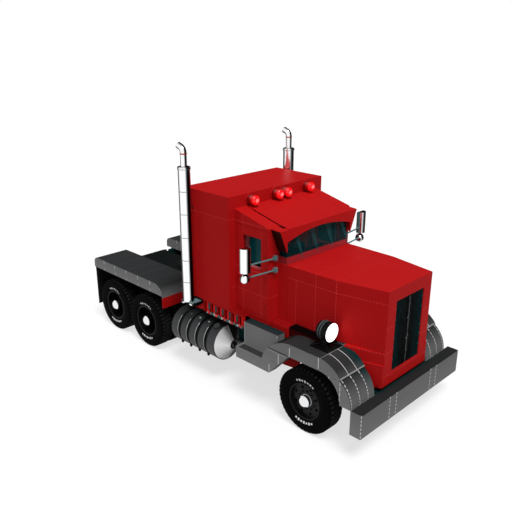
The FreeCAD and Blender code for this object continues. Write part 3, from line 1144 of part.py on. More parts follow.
def interior():
    """Dashboard with the steering wheel, two seats and the bunk."""
    front = CAB_FRONT - FIREWALL
    wide = CAB_HALF - CAB_WALL - 12
    desk = side_profile([(front, 1980), (front, 2200), (front - 130, 2190), (front - 225, 2090), (front - 200, 1960),
                         (front - 60, 1900)], -wide, wide)
    hub = V(front - 290, 430, 2140)
    tilt = V(-0.55, 0, 0.835)
    wheel = Part.makeTorus(215, 15, hub, tilt)
    disc = Part.makeCylinder(55, 24, hub - tilt * 12, tilt)
    spokes = [rod(9, (hub.x, hub.y - 212, hub.z), (hub.x, hub.y + 212, hub.z))]
    column = rod(26, (hub.x, hub.y, hub.z), (front - 60, 430, 1790))
    desk = fuse([desk, wheel, disc, column] + spokes)
    lever = fuse([rod(9, (front - 262, 40, CAB_FLOOR), (front - 262, 40, 1960)),
                  Part.makeSphere(27, V(front - 262, 40, 1960)),
                  Part.makeCone(70, 22, 90, V(front - 262, 40, CAB_FLOOR))])
    pedals = [fuse([rod(9, (front, y, 1530), (front - 60, y, 1530)), box(front - 72, front - 58, y - 38, y + 38, 1470, 1590)])
              for y in (310, 430, 550)]
    write("dashboard", Part.makeCompound([desk, lever] + pedals))
    seat_x = -1500
    base = box(seat_x - 220, seat_x + 150, 200, 640, CAB_FLOOR, 1560)
    cushion = box(seat_x - 250, seat_x + 230, 170, 670, 1560, 1700)
    back = side_profile([(seat_x - 240, 1690), (seat_x - 120, 1690), (seat_x - 150, 2330), (seat_x - 225, 2330)], 180, 660)
    bunk = box(SLEEPER_REAR + SLEEPER_WALL + 15, SLEEPER_REAR + SLEEPER_WALL + 700, -SLEEPER_HALF + 60,
               SLEEPER_HALF - 60, CAB_FLOOR, 1850)
    write("seats", Part.makeCompound([pair(fuse([base, cushion, back])), bunk]))


def mirrors():
    """Half-round mirror housings and ball ends on arms from the cab's front corners."""
    housing = Part.makeCylinder(MIRROR_RADIUS, MIRROR_HIGH - MIRROR_LOW, V(MIRROR_X, MIRROR_Y, MIRROR_LOW))
    housing = housing.cut(box(MIRROR_X - 200, MIRROR_X - 18, MIRROR_Y - 200, MIRROR_Y + 200, MIRROR_LOW - 5, MIRROR_HIGH + 5))
    ball = Part.makeSphere(BALL_RADIUS, V(MIRROR_X, MIRROR_Y, BALL_Z))
    neck = rod(14, (MIRROR_X, MIRROR_Y, BALL_Z), (MIRROR_X, MIRROR_Y, MIRROR_LOW + 10))
    pieces = [housing, ball, neck]
    arm_x = CAB_FRONT + 34
    for z in ARM_HEIGHTS:
        pieces.append(box(CAB_FRONT, CAB_FRONT + 48, CLIP_Y - CLIP_HALF, CLIP_Y + CLIP_HALF, z - CLIP_HALF, z + CLIP_HALF))
        pieces.append(rod(ARM_RADIUS, (arm_x, CLIP_Y, z), (MIRROR_X + 24, MIRROR_Y - 15, z)))
    write("mirrors", pair(fuse(pieces)))


def marker_lamps():
    """Round marker lamps on the sleeper's front above the cab roof."""
    lamps = []
    for y in MARKER_Y:
        start = (CAB_REAR, y, MARKER_Z)
        body = rod(MARKER_RADIUS, start, (MARKER_FRONT, y, MARKER_Z))
        lamps.append(pair(body))
    write("marker_lamps", Part.makeCompound(lamps))


def main():
    """Write every node of the vehicle."""
    os.makedirs("parts", exist_ok=True)
    wheels()
    frame()
    bumper()
    front_axle()
    left = knuckle()
    write("knuckle_left", left)
    write("knuckle_right", mirrored(left))
    tie_rod()
    write("suspension", Part.makeCompound([pair(leaf_spring()), pair(walking_beam())]))
    drive_axles()
    engine()
    brackets()
    tail_lamps()
    tanks()
    battery_boxes()
    steps()
    exhaust()
    rear_fenders()
    side_panels()
    fifth_wheel()
    hood()
    grille()
    front_fenders()
    headlights()
    cab_shell()
    doors()
    windscreen()
    roof_visor()
    sleeper()
    interior()
    mirrors()
    marker_lamps()


main()
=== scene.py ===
"""Looks of a three-axle sleeper truck tractor: finishes, tyre tread, cushions, small fittings, light.

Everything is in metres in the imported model's own frame: +X forward, +Y to the vehicle's left, +Z up.
Stations written as ahead(s) are s metres ahead of the front axle.
"""
import math

import bmesh
import bpy
import numpy as np
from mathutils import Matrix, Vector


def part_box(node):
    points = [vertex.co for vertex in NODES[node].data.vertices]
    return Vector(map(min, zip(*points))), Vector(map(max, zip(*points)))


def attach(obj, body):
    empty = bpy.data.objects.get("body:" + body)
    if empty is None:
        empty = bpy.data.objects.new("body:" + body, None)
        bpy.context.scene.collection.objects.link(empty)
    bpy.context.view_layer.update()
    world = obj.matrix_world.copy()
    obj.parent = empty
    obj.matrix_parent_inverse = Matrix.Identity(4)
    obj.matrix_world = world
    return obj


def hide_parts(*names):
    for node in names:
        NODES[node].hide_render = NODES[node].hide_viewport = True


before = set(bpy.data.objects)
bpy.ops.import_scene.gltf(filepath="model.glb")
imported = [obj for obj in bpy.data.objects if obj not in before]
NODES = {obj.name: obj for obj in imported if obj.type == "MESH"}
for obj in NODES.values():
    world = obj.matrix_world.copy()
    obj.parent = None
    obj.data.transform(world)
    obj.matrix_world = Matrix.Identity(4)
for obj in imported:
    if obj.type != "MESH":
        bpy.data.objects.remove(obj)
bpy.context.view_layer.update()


def middle(node):
    """Centre of a node's box."""
    low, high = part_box(node)
    return (low + high) / 2


def ahead(station):
    """Frame X of a station counted from the front axle."""
    return FRONT_AXLE + station


# wheels
FRONT_AXLE = middle("tyre_front_left").x
SECOND_AXLE = middle("tyres_second_left").x
THIRD_AXLE = middle("tyres_third_left").x
WHEEL_Z = middle("tyre_front_left").z
TYRE_RADIUS = WHEEL_Z
WHEEL_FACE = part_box("tyre_front_left")[1].y     # outer side of every outer tyre
FRONT_TYRE_WIDTH = 0.290
TWIN_TYRE_WIDTH = 0.262
TWIN_STEP = 0.306                               # from one twin tyre to the other

# fuel tanks
TANK_NOSE = ahead(-1.755)
TANK_Y = 0.978
TANK_Z = 0.690
TANK_RADIUS = 0.318
BARREL_FRONT = -1.905                           # where the cone meets the first of the barrel's rings
RING_LENGTH = 0.192
STRAP_WIDTH = 0.036
RING_PITCH = RING_LENGTH + STRAP_WIDTH
GROOVES = [ahead(BARREL_FRONT - RING_LENGTH - STRAP_WIDTH / 2 - RING_PITCH * i) for i in range(4)]

# mirrors
MIRROR_Y = 1.400

# directions, and the four corners of a square
AHEAD = (1, 0, 0)
BACK = (-1, 0, 0)
UP = (0, 0, 1)
CORNERS = [(a, b) for a in (-1, 1) for b in (-1, 1)]
SIDES = (("left", 1), ("right", -1))


# ---------------------------------------------------------------- shader maths
class Value:
    """A shader socket; arithmetic and comparison on it add Math nodes."""

    def __init__(self, finish, socket):
        self.finish = finish
        self.socket = socket

    def math(self, operation, *others):
        return self.finish.node("ShaderNodeMath", {"operation": operation}, (self,) + others)

    def __add__(self, other):
        return self.math("ADD", other)

    def __mul__(self, other):
        return self.math("MULTIPLY", other)

    def __sub__(self, other):
        return self.math("SUBTRACT", other)

    def __rsub__(self, other):
        return self.finish.node("ShaderNodeMath", {"operation": "SUBTRACT"}, (other, self))

    def __truediv__(self, other):
        return self.math("DIVIDE", other)

    def __gt__(self, other):
        return self.math("GREATER_THAN", other)

    def __lt__(self, other):
        return self.math("LESS_THAN", other)

    def __abs__(self):
        return self.math("ABSOLUTE")

    def __mod__(self, other):
        return self.math("FLOORED_MODULO", other)

    __radd__ = __add__
    __rmul__ = __mul__

    def or_(self, other):
        return self.math("MAXIMUM", other)

    def near(self, at, reach):
        """1 within reach of a number, else 0."""
        return self.math("COMPARE", at, reach)

    def within(self, low, high):
        """1 between two numbers, else 0."""
        return self.near((low + high) / 2, abs(high - low) / 2)

    def ramp(self, low, high, bottom=0.0, top=1.0):
        """Straight rise from bottom to top as the value goes from low to high, level outside."""
        return self.finish.node("ShaderNodeMapRange", {}, (self, low, high, bottom, top))


class Finish:
    """One material and the nodes that make it."""

    def __init__(self, name):
        self.material = bpy.data.materials.new(name)
        self.material.use_nodes = True
        self.tree = self.material.node_tree
        self.tree.nodes.clear()
        self.place = self.node("ShaderNodeTexCoord", output="Object")
        normal = self.node("ShaderNodeTexCoord", output="Normal")
        self.x, self.y, self.z = (self.node("ShaderNodeSeparateXYZ", {}, (self.place,), i) for i in range(3))
        self.nx, self.ny, self.nz = (self.node("ShaderNodeSeparateXYZ", {}, (normal,), i) for i in range(3))

    def node(self, kind, settings=None, inputs=(), output=0):
        """Adds a node: its settings first, then the values or links of its sockets."""
        made = self.tree.nodes.new(kind)
        for key, value in (settings or {}).items():
            if key == "stops":
                for place, colour in value:
                    stop = made.color_ramp.elements.new(place)
                    stop.color = (*colour, 1.0)
                made.color_ramp.elements.remove(made.color_ramp.elements[0])
                made.color_ramp.elements.remove(made.color_ramp.elements[-1])
            else:
                setattr(made, key, value)
        for key, value in (inputs.items() if isinstance(inputs, dict) else enumerate(inputs)):
            if isinstance(value, Value):
                self.tree.links.new(value.socket, made.inputs[key])
            elif isinstance(value, tuple) and len(value) == 3 and made.inputs[key].type == "RGBA":
                made.inputs[key].default_value = (*value, 1.0)
            else:
                made.inputs[key].default_value = value
        return Value(self, made.outputs[output]) if made.outputs else None

    def noise(self, scale, detail=3.0, stretch=(1.0, 1.0, 1.0)):
        """Cloudy 0 to 1 pattern; stretch divides the pattern's frequency along each axis."""
        shares = tuple(1 / share for share in stretch)
        place = self.node("ShaderNodeMapping", {}, {"Vector": self.place, "Scale": shares})
        return self.node("ShaderNodeTexNoise", {}, {"Vector": place, "Scale": scale, "Detail": detail}, "Fac")

    def cells(self, scale):
        """Distance to the nearest scattered point."""
        return self.node("ShaderNodeTexVoronoi", {}, {"Vector": self.place, "Scale": scale}, "Distance")

    def mix(self, factor, first, second):
        """Colour between two colours."""
        return self.node("ShaderNodeMix", {"data_type": "RGBA"}, {0: factor, 6: first, 7: second}, 2)

    def bump(self, height, strength=0.3, distance=0.002):
        """Surface normal raised by a height."""
        return self.node("ShaderNodeBump", {}, {"Height": height, "Strength": strength, "Distance": distance})

    def coat(self, **sockets):
        """Closes the material with a Principled surface; socket names use _ for a space."""
        inputs = {key.replace("_", " "): value for key, value in sockets.items()}
        surface = self.node("ShaderNodeBsdfPrincipled", {}, inputs)
        self.node("ShaderNodeOutputMaterial", {}, (surface,))
        return self.material


# ---------------------------------------------------------------- finishes
RED = (0.500, 0.0085, 0.0095)
RED_CLOUD = (0.43, 0.006, 0.007)
# Painted light: the dark red, the greys by face direction and the teal are shade; the seam red is a
# highlight.
RED_SHADE = (0.030, 0.0012, 0.0012)
RED_SEAM_GLINT = (0.80, 0.060, 0.060)
GREY_FRONT = (0.205, 0.205, 0.206)
GREY_SIDE = (0.280, 0.281, 0.283)
GREY_TOP = (0.024, 0.026, 0.027)
TEAL_SHADE = (0.001, 0.026, 0.028)
WHITE_LINE = (0.86, 0.86, 0.86)
BLACK = (0.006, 0.006, 0.007)
CHROME = (0.82, 0.83, 0.84)

# panel seams
SEAM_HALF = 0.0050
SEAM_PITCH = 0.048
SEAM_DASH = 0.026


def distance(first, second):
    """Length across two offsets that are square to each other."""
    return (first * first + second * second).math("SQRT")


def crossed(first, second, frequency):
    """Product of two sine waves that run along the two diagonals of a plane."""
    return ((first + second) * frequency).math("SINE") * ((first - second) * frequency).math("SINE")


def darker(colour, share):
    """The same colour with only a share of its light."""
    return tuple(share * part for part in colour)


def lines(value, places, reach=0.0065):
    """1 near any of the places."""
    total = value.near(places[0], reach)
    for place in places[1:]:
        total = total.or_(value.near(place, reach))
    return total


def seam_mask(finish, rows):
    """Thin dotted lines. A row is (axis across, place, axis along, from, to, axis the panel faces).

    Places along X are counted from the front axle, and both sides of the vehicle share their Y.
    """
    axes = {"x": finish.x, "y": abs(finish.y), "z": finish.z}
    normals = {"x": finish.nx, "y": finish.ny, "z": finish.nz}
    origin = {"x": FRONT_AXLE, "y": 0.0, "z": 0.0}
    total = None
    for across, place, along, start, end, facing in rows:
        run = axes[along]
        line = axes[across].near(origin[across] + place, SEAM_HALF)
        line = line * run.within(origin[along] + start, origin[along] + end) * (run % SEAM_PITCH < SEAM_DASH)
        line = line * (abs(normals[facing]) > 0.6) * (0.40 if facing == "z" else 1.0)
        total = line if total is None else total.or_(line)
    return total


def red_paint(name, seams=(), shade=None):
    """Satin red enamel with dotted panel seams in a painted highlight of their rivets; shade, a function of
    the finish, marks the faces painted dark as shade.
    """
    finish = Finish(name)
    cloud = finish.noise(1.7, 4.0)
    dust = finish.z.ramp(0.7, 1.8, 0.16, 0.0) * finish.noise(9.0, 5.0).ramp(0.45, 0.75)
    colour = finish.mix(cloud.ramp(0.3, 0.7, 0.0, 0.16), RED, RED_CLOUD)
    colour = finish.mix(dust, colour, (0.30, 0.06, 0.05))
    rough = finish.noise(40.0, 2.0).ramp(0.3, 0.7, 0.42, 0.50)
    height = finish.noise(320.0, 1.0) * 0.12
    if seams:
        mask = seam_mask(finish, seams)
        # Painted highlight: the seams' light red stands for their rivets catching the light.
        colour = finish.mix(mask * 0.85, colour, RED_SEAM_GLINT)
        height = height + mask
    if shade:
        # Painted shade over the faces that shade marks.
        colour = finish.mix(shade(finish), colour, RED_SHADE)
    return finish.coat(Base_Color=colour, Roughness=rough, Normal=finish.bump(height, 0.12, 0.002),
                       Specular_IOR_Level=0.04)


def grey_coat(name, dashes, low, high, crown=None, teal=None):
    """Satin grey metal with painted shade, near black on top, with short joint marks.

    Dashes gives the white marks and the black ones, and the sides darken with painted shade from the height
    low to high. Crown marks the faces that go dark, the level ones if it is left out, and teal those that
    turn blue green as painted shade.
    """
    finish = Finish(name)
    grain = finish.noise(55.0, 3.0)
    scuff = finish.noise(6.0, 5.0, (4.0, 4.0, 1.0))
    # Painted light and shade: faces that look sideways lighter than those ahead, the sides darker with
    # height.
    side = finish.mix(abs(finish.ny).ramp(0.45, 0.9), GREY_FRONT, GREY_SIDE)
    side = finish.mix(finish.z.ramp(low, high, 0.0, 0.35), side, (0.105, 0.106, 0.108))
    side = finish.mix(scuff.ramp(0.35, 0.7, 0.0, 0.14), side, (0.11, 0.112, 0.115))
    # Painted shade: the tops near black, teal where teal marks.
    top = finish.mix(grain.ramp(0.3, 0.7), GREY_TOP, (0.031, 0.033, 0.034))
    if teal:
        top = finish.mix(teal(finish), top, TEAL_SHADE)
    over = crown(finish) if crown else finish.nz.ramp(0.02, 0.80)
    colour = finish.mix(over, side, top)
    white, black = dashes(finish)
    colour = finish.mix(black * 0.85, colour, (0.010, 0.011, 0.011))
    colour = finish.mix(white * 0.9, colour, WHITE_LINE)
    return finish.coat(Base_Color=colour, Roughness=grain.ramp(0.3, 0.7, 0.5, 0.62),
                       Normal=finish.bump(grain * 0.4 + white - black, 0.12, 0.0015), Specular_IOR_Level=0.04)


def dark_metal(name, base, worn, rough=0.5, scale=14.0):
    """Painted or cast metal with cloudy wear and a fine grain."""
    finish = Finish(name)
    wear = finish.noise(scale, 6.0)
    grain = finish.noise(170.0, 2.0)
    colour = finish.mix(wear.ramp(0.5, 0.72), base, worn)
    return finish.coat(Base_Color=colour, Roughness=wear.ramp(0.3, 0.8, rough, rough + 0.2),
                       Normal=finish.bump(grain * 0.5 + wear * 0.5, 0.2, 0.0015), Specular_IOR_Level=0.05)


MARK_ARC = 0.52             # half the arc of dashes, in radians
MARK_PITCH = 0.150          # from dash to dash, in radians
MARK_LENGTH = 0.094
MARK_LOW = 0.325            # the dashes' band, as radii
MARK_HIGH = 0.352


def tyre_rubber(name, station):
    """Black rubber with plain white dashes in an arc above and below the hub."""
    finish = Finish(name)
    across = finish.x - station
    up = finish.z - WHEEL_Z
    radius = distance(across, up)
    angle = across.math("ARCTAN2", abs(up))
    turn = angle + 3.0                                          # above 0 everywhere
    arc = (angle - 0.05).within(-MARK_ARC, MARK_ARC) * (turn % MARK_PITCH < MARK_LENGTH)
    wall = abs(finish.ny) > 0.55
    tall = (turn % (2 * MARK_PITCH) < MARK_PITCH) * 0.006       # every second dash is taller both ways
    band = (radius + tall > MARK_LOW) * (radius - tall < MARK_HIGH)
    marks = arc * band * wall * (abs(finish.y) > WHEEL_FACE - 0.06)
    dust = finish.noise(26.0, 5.0)
    colour = finish.mix(dust.ramp(0.4, 0.8), (0.0012, 0.0012, 0.0014), (0.0040, 0.0040, 0.0040))
    # Painted highlight: the lug tops on the tread lighter than the grooves, mixed with dust.
    lug = (radius > TYRE_RADIUS - 0.006) * (1.0 - wall)
    colour = finish.mix(lug * dust.ramp(0.3, 0.6, 0.6, 1.0), colour, (0.021, 0.022, 0.022))
    colour = finish.mix(marks, colour, (0.93, 0.93, 0.92))
    rings = (radius % 0.012).ramp(0.0, 0.012) * wall
    height = rings * 0.3 + finish.noise(260.0, 2.0) * 0.3 + marks
    return finish.coat(Base_Color=colour, Roughness=dust.ramp(0.3, 0.8, 0.72, 0.9),
                       Normal=finish.bump(height, 0.25, 0.002), Specular_IOR_Level=0.03)


def wheel_metal(name, station):
    """Gloss black disc with a bright hub cap."""
    finish = Finish(name)
    across = finish.x - station
    up = finish.z - WHEEL_Z
    radius = distance(across, up)
    cap = (radius < 0.0945) * (abs(finish.y) > WHEEL_FACE - 0.12)
    grime = finish.noise(30.0, 5.0)
    disc = finish.mix(grime.ramp(0.5, 0.8), (0.0045, 0.0045, 0.005), (0.016, 0.015, 0.014))
    colour = finish.mix(cap, disc, CHROME)
    rough = cap * -0.18 + grime.ramp(0.3, 0.8, 0.30, 0.42)
    return finish.coat(Base_Color=colour, Roughness=rough, Metallic=cap,
                       Normal=finish.bump(grime, 0.08, 0.001), Specular_IOR_Level=0.12)


def chrome(name, seams=(), bands=(), dull=None):
    """Bright chrome with faint polish marks.

    Seams are dark rings at heights, bands are (low, high, colour) along Z, and dull marks what is painted
    grey. A painted reflection runs darker over the faces that look ahead or up and in a stripe past each
    flank.
    """
    finish = Finish(name)
    polish = finish.noise(18.0, 4.0, (1.0, 1.0, 8.0))
    colour = finish.mix(polish.ramp(0.4, 0.7, 0.0, 0.3), (0.97, 0.975, 0.98), (0.86, 0.87, 0.88))
    # Painted reflection: dark over the faces that look ahead or up and in a stripe past each flank.
    flank = abs(finish.nx + 0.30).ramp(0.38, 0.15)
    level = abs(finish.nz).ramp(0.55, 0.95, 0.0, 0.85)
    shade = finish.nx.ramp(0.85, 0.97).or_(flank).or_(level)
    colour = finish.mix(shade, colour, (0.010, 0.014, 0.014))
    rough = polish.ramp(0.3, 0.7, 0.13, 0.20)
    metal = polish.ramp(0.0, 0.1, 0.98, 1.0)
    for place in seams:
        colour = finish.mix(finish.z.near(place, 0.006) * 0.8, colour, (0.10, 0.11, 0.12))
    for low, high, tint in bands:
        colour = finish.mix(finish.z.within(low, high), colour, tint)
    if dull:
        mask = dull(finish)
        colour = finish.mix(mask, colour, (0.120, 0.240, 0.245))
        rough = rough + mask * 0.3
        metal = metal * (1.0 - mask * 0.8)
    return finish.coat(Base_Color=colour, Roughness=rough, Metallic=metal,
                       Normal=finish.bump(polish, 0.03, 0.001), Specular_IOR_Level=0.2)


CONE_LENGTH = 0.149
CONE_RADIUS = 0.3065
NOSE_DISC = 0.079
NOSE_BORE = 0.036


def tank_metal():
    """Dark ribbed barrel with a polished front cone and a chrome filler cap; light and shade are painted in.

    The barrel has painted shade: darker on top, teal inwards, black in and round its grooves and in the
    cone's bore, with a painted highlight behind each groove. The cone's outer half carries a painted
    reflection, bright and with a white line where the halves meet, and its inner half is painted dark.
    """
    finish = Finish("tank_shell")
    side = abs(finish.y) - TANK_Y
    radius = distance(side, finish.z - TANK_Z)
    cone = (finish.x > TANK_NOSE - CONE_LENGTH) * (radius < CONE_RADIUS)
    disc = (finish.x > TANK_NOSE - 0.004) * (radius < NOSE_DISC)
    pipe = finish.x > TANK_NOSE + 0.004
    hole = (radius < NOSE_BORE) * cone * (1.0 - pipe)
    # Painted reflection: the cone's outer half bright, dimmer towards its top and bottom.
    shaded = finish.nz.ramp(0.10, 0.80, 1.0, 0.10) * finish.nz.ramp(-0.75, -0.35, 0.45, 1.0)
    bright = cone * (side > 0.0) * (1.0 - disc) * shaded
    cap = (radius > 0.323) * (radius < 0.360) * (finish.nz > 0.6)
    grain = finish.noise(30.0, 4.0, (6.0, 1.0, 1.0))
    body = finish.mix(grain.ramp(0.35, 0.7), (0.064, 0.065, 0.067), (0.086, 0.087, 0.089))
    # Painted shade: the barrel darker towards its top and teal towards the vehicle's middle.
    body = finish.mix(finish.nz.ramp(-0.1, 0.95, 0.0, 0.93), body, (0.012, 0.016, 0.017))
    body = finish.mix(side.ramp(-0.30, -0.05, 0.9, 0.0), body, TEAL_SHADE)
    # Painted shade: grooves black, in a band round each; a painted highlight as a thin line behind each.
    groove = (radius < 0.3155).or_(lines(finish.x, GROOVES, 0.040)) * (1.0 - cone)
    edges = [place - 0.044 for place in GROOVES]
    shine = lines(finish.x, edges, 0.0040) * (abs(finish.ny) > 0.62) * (side > 0.1)
    colour = finish.mix(groove, body, (0.002, 0.003, 0.003))
    colour = finish.mix(shine * 0.8, colour, (0.85, 0.86, 0.86))
    # Painted reflection on the cone: dark, with its outer half bright.
    colour = finish.mix(cone, colour, (0.020, 0.022, 0.022))
    colour = finish.mix(bright, colour, (0.97, 0.97, 0.975))
    colour = finish.mix(disc, colour, (0.11, 0.112, 0.114))
    # Painted shade in the cone's bore; a painted highlight where the cone's two halves meet.
    colour = finish.mix(hole, colour, (0.003, 0.003, 0.003))
    colour = finish.mix(side.near(0.0, 0.005) * cone * 0.95, colour, (0.9, 0.9, 0.9))
    colour = finish.mix(cap * 0.5, colour, (0.05, 0.052, 0.053))
    metal = bright * 0.15
    return finish.coat(Base_Color=colour, Roughness=grain.ramp(0.3, 0.7, 0.42, 0.5) - metal * 0.2,
                       Metallic=metal, Normal=finish.bump(grain, 0.04, 0.001), Specular_IOR_Level=0.15)


def tinted_glass(name, tint, cover, joints=None):
    """Thin tinted pane: cover is how much it hides of what lies behind it.

    Joints marks the strips between panes, which come with a red strip along the pane's slightly tilted foot,
    a painted reflection of the red hood.
    """
    finish = Finish(name)
    smear = finish.noise(3.0, 4.0)
    colour = finish.mix(smear.ramp(0.4, 0.7), tint, darker(tint, 0.7))
    alpha = smear.ramp(0.3, 0.7, cover, cover + 0.05)
    if joints:
        mask = joints(finish)
        # Painted reflection of the red hood along the pane's foot.
        foot = finish.z < finish.y * -0.02 + 2.367
        colour = finish.mix(foot, colour, (0.340, 0.022, 0.027))
        alpha = alpha + foot * 0.48
        colour = finish.mix(mask, colour, (0.012, 0.075, 0.082))
        alpha = alpha + mask * (foot * -0.14 + 0.24)
    return finish.coat(Base_Color=colour, Roughness=smear.ramp(0.3, 0.7, 0.03, 0.06), Alpha=alpha,
                       Specular_IOR_Level=0.06)


def glowing(name, colour, glow, strength, scale):
    """Moulded lens with its own soft light."""
    finish = Finish(name)
    prism = finish.noise(scale, 2.0)
    tone = finish.mix(prism.ramp(0.3, 0.7), colour, darker(colour, 0.8))
    light = finish.mix(prism.ramp(0.35, 0.65), glow, darker(glow, 0.86))
    return finish.coat(Base_Color=tone, Roughness=prism.ramp(0.3, 0.7, 0.14, 0.22), Emission_Color=light,
                       Emission_Strength=strength, Normal=finish.bump(prism, 0.1, 0.001))


def woven(name, base, thread):
    """Plain seat cloth: crossed threads a few millimetres apart."""
    finish = Finish(name)
    warp = ((finish.x + finish.z) * 480.0).math("SINE")
    weft = ((finish.y + finish.z) * 480.0).math("SINE")
    weave = (warp * weft).ramp(-1.0, 1.0)
    fade = finish.noise(5.0, 4.0)
    colour = finish.mix(weave, base, thread)
    colour = finish.mix(fade.ramp(0.4, 0.75, 0.0, 0.3), colour, darker(base, 0.6))
    return finish.coat(Base_Color=colour, Roughness=fade.ramp(0.3, 0.7, 0.85, 0.95),
                       Normal=finish.bump(weave, 0.4, 0.001), Specular_IOR_Level=0.1)


def bar_metal():
    """Grille bars: black in the middle; painted shade turns them teal towards both sides and near black where
    they lie deep.
    """
    finish = Finish("grille_bars")
    grain = finish.noise(12.0, 4.0, (1.0, 1.0, 6.0))
    edge = abs(finish.y).ramp(0.12, 0.33)
    plain = finish.mix(grain.ramp(0.42, 0.60), (0.0022, 0.0032, 0.0034), (0.0115, 0.0125, 0.0125))
    # Painted shade: teal towards both sides, near black where the bars lie deep.
    colour = finish.mix(edge * grain.ramp(0.3, 0.6, 0.35, 1.0), plain, (0.0010, 0.024, 0.027))
    colour = finish.mix(finish.x.ramp(ahead(0.842), ahead(0.836)), colour, (0.0006, 0.0016, 0.0018))
    return finish.coat(Base_Color=colour, Roughness=grain.ramp(0.3, 0.7, 0.5, 0.62),
                       Normal=finish.bump(grain, 0.1, 0.001), Specular_IOR_Level=0.03)


def moulded(name, base, rough=0.6, scale=240.0):
    """Moulded plastic or rubber with a pebbled skin."""
    finish = Finish(name)
    pebble = finish.cells(scale)
    cloud = finish.noise(7.0, 4.0)
    colour = finish.mix(cloud.ramp(0.35, 0.7), base, darker(base, 0.7))
    return finish.coat(Base_Color=colour, Roughness=cloud.ramp(0.3, 0.7, rough, rough + 0.12),
                       Normal=finish.bump(pebble, 0.25, 0.001), Specular_IOR_Level=0.12)


def dress(material, *nodes):
    """Gives one material to CAD nodes."""
    for name in nodes:
        slots = NODES[name].data.materials
        slots.clear()
        slots.append(material)


# ---------------------------------------------------------------- surfaces
def grid_mesh(name, points, material, around=False, along=False, smooth=True):
    """Mesh over a grid of points shaped (rows, columns, 3); around joins the last column to the first."""
    rows, columns = points.shape[:2]
    index = np.arange(rows * columns).reshape(rows, columns)
    if around:
        index = np.concatenate([index, index[:, :1]], 1)
    if along:
        index = np.concatenate([index, index[:1]], 0)
    faces = np.stack([index[:-1, :-1], index[:-1, 1:], index[1:, 1:], index[1:, :-1]], -1).reshape(-1, 4)
    return solid_mesh(name, points.reshape(-1, 3), faces, material, smooth)


def solid_mesh(name, points, faces, material, smooth=True):
    """Mesh from arrays of points and four-sided faces, linked to the scene."""
    mesh = bpy.data.meshes.new(name)
    mesh.from_pydata(points.tolist(), [], faces.tolist())
    mesh.polygons.foreach_set("use_smooth", np.full(len(mesh.polygons), smooth))
    mesh.update()
    mesh.materials.append(material)
    piece = bpy.data.objects.new(name, mesh)
    bpy.context.scene.collection.objects.link(piece)
    return piece


LUG_STATIONS = np.array([0.0, 0.03, 0.30, 0.60, 0.64])      # shares of a lug's pitch
LUG_GROOVES = np.array([1.0, 0.0, 0.0, 0.0, 1.0])           # 1 where the groove between two lugs runs
TREAD_RINGS = np.array([3, 6, 10, 13])                      # tread rows that are grooves all the way round


def tyre_surface(name, width, face, station, side, material, lugs=44, depth=0.013):
    """Tread and sidewalls: radius is the tyre's profile less the grooves' depth where a groove runs.

    Columns go round the wheel with five stations to each lug, so the lug edges are sharp; rows go from
    one bead over the tread to the other bead and back through the bore. The tread turns by a skew that
    grows from the middle to both shoulders.
    """
    half = width / 2
    edge = [(0.2862, 0.024), (0.300, 0.012), (0.345, 0.002), (0.395, 0.0), (0.440, 0.004), (0.470, 0.009),
            (0.4795, 0.012), (0.4835, 0.014), (0.497, 0.022), (0.5045, 0.034)]
    edge = np.array(edge) - (0.0, half)
    tread = np.linspace(0.044 - half, half - 0.044, 17)
    tread = np.stack([np.full(17, TYRE_RADIUS - 0.0002), tread], 1)
    profile = np.concatenate([edge, tread, edge[::-1] * (1, -1)])
    share = np.abs(profile[:, 1]) / half
    turn = (np.arange(lugs)[:, None] + LUG_STATIONS).reshape(-1) / lugs * 2 * math.pi
    depths = np.where(share > 0.45, 1.0, 0.35) * (profile[:, 0] > 0.481)
    cut = depths[:, None] * np.tile(LUG_GROOVES, lugs)
    rings = np.zeros(len(profile))
    rings[len(edge) + TREAD_RINGS] = 1.0
    radius = profile[:, :1] - depth * np.maximum(cut, rings[:, None])
    skew = 0.055 * share * np.sign(profile[:, 1]) * (profile[:, 0] > 0.47)
    angle = turn + skew[:, None]
    across = np.broadcast_to(side * (face - half + profile[:, 1:]), radius.shape)
    points = np.stack([station + radius * np.sin(angle), across, WHEEL_Z + radius * np.cos(angle)], -1)
    if side < 0:
        points = points[:, ::-1]
    return grid_mesh(name, points, material, around=True, along=True)


def square_to(way):
    """Unit directions: along a way, and two square to it."""
    way = np.array(way, float) / np.linalg.norm(way)
    side = np.cross(way, (0.0, 0.0, 1.0) if abs(way[2]) < 0.9 else (1.0, 0.0, 0.0))
    side = side / np.linalg.norm(side)
    return way, side, np.cross(way, side)


def weld(piece):
    """Joins points that meet, so that poles and seams are closed, and turns the faces outwards."""
    shell = bmesh.new()
    shell.from_mesh(piece.data)
    bmesh.ops.remove_doubles(shell, verts=shell.verts, dist=2e-6)
    bmesh.ops.recalc_face_normals(shell, faces=shell.faces)
    shell.to_mesh(piece.data)
    shell.free()
    return piece


def turned(name, profile, start, way, material, count=40, flutes=0, depth=0.0, smooth=True):
    """Surface of revolution: (distance along the axis, radius) pairs carried round it.

    The radius may be waved by flutes. A profile whose two ends are off the axis closes on itself as a ring,
    and one open end is closed by a flat disc.
    """
    profile = np.array(profile, float)
    ring = profile[0, 1] > 0 and profile[-1, 1] > 0
    if not ring and profile[0, 1] > 0:
        profile = np.concatenate([[(profile[0, 0], 0.0)], profile])
    way, side, up = square_to(way)
    angle = np.arange(count) / count * 2 * math.pi
    radius = profile[:, 1:] * (1 + depth * np.cos(flutes * angle))[None, :]
    points = np.array(start, float) + profile[:, 0, None, None] * way
    points = points + radius[..., None] * (np.cos(angle)[:, None] * side + np.sin(angle)[:, None] * up)[None]
    return weld(grid_mesh(name, points, material, around=True, along=ring, smooth=smooth))


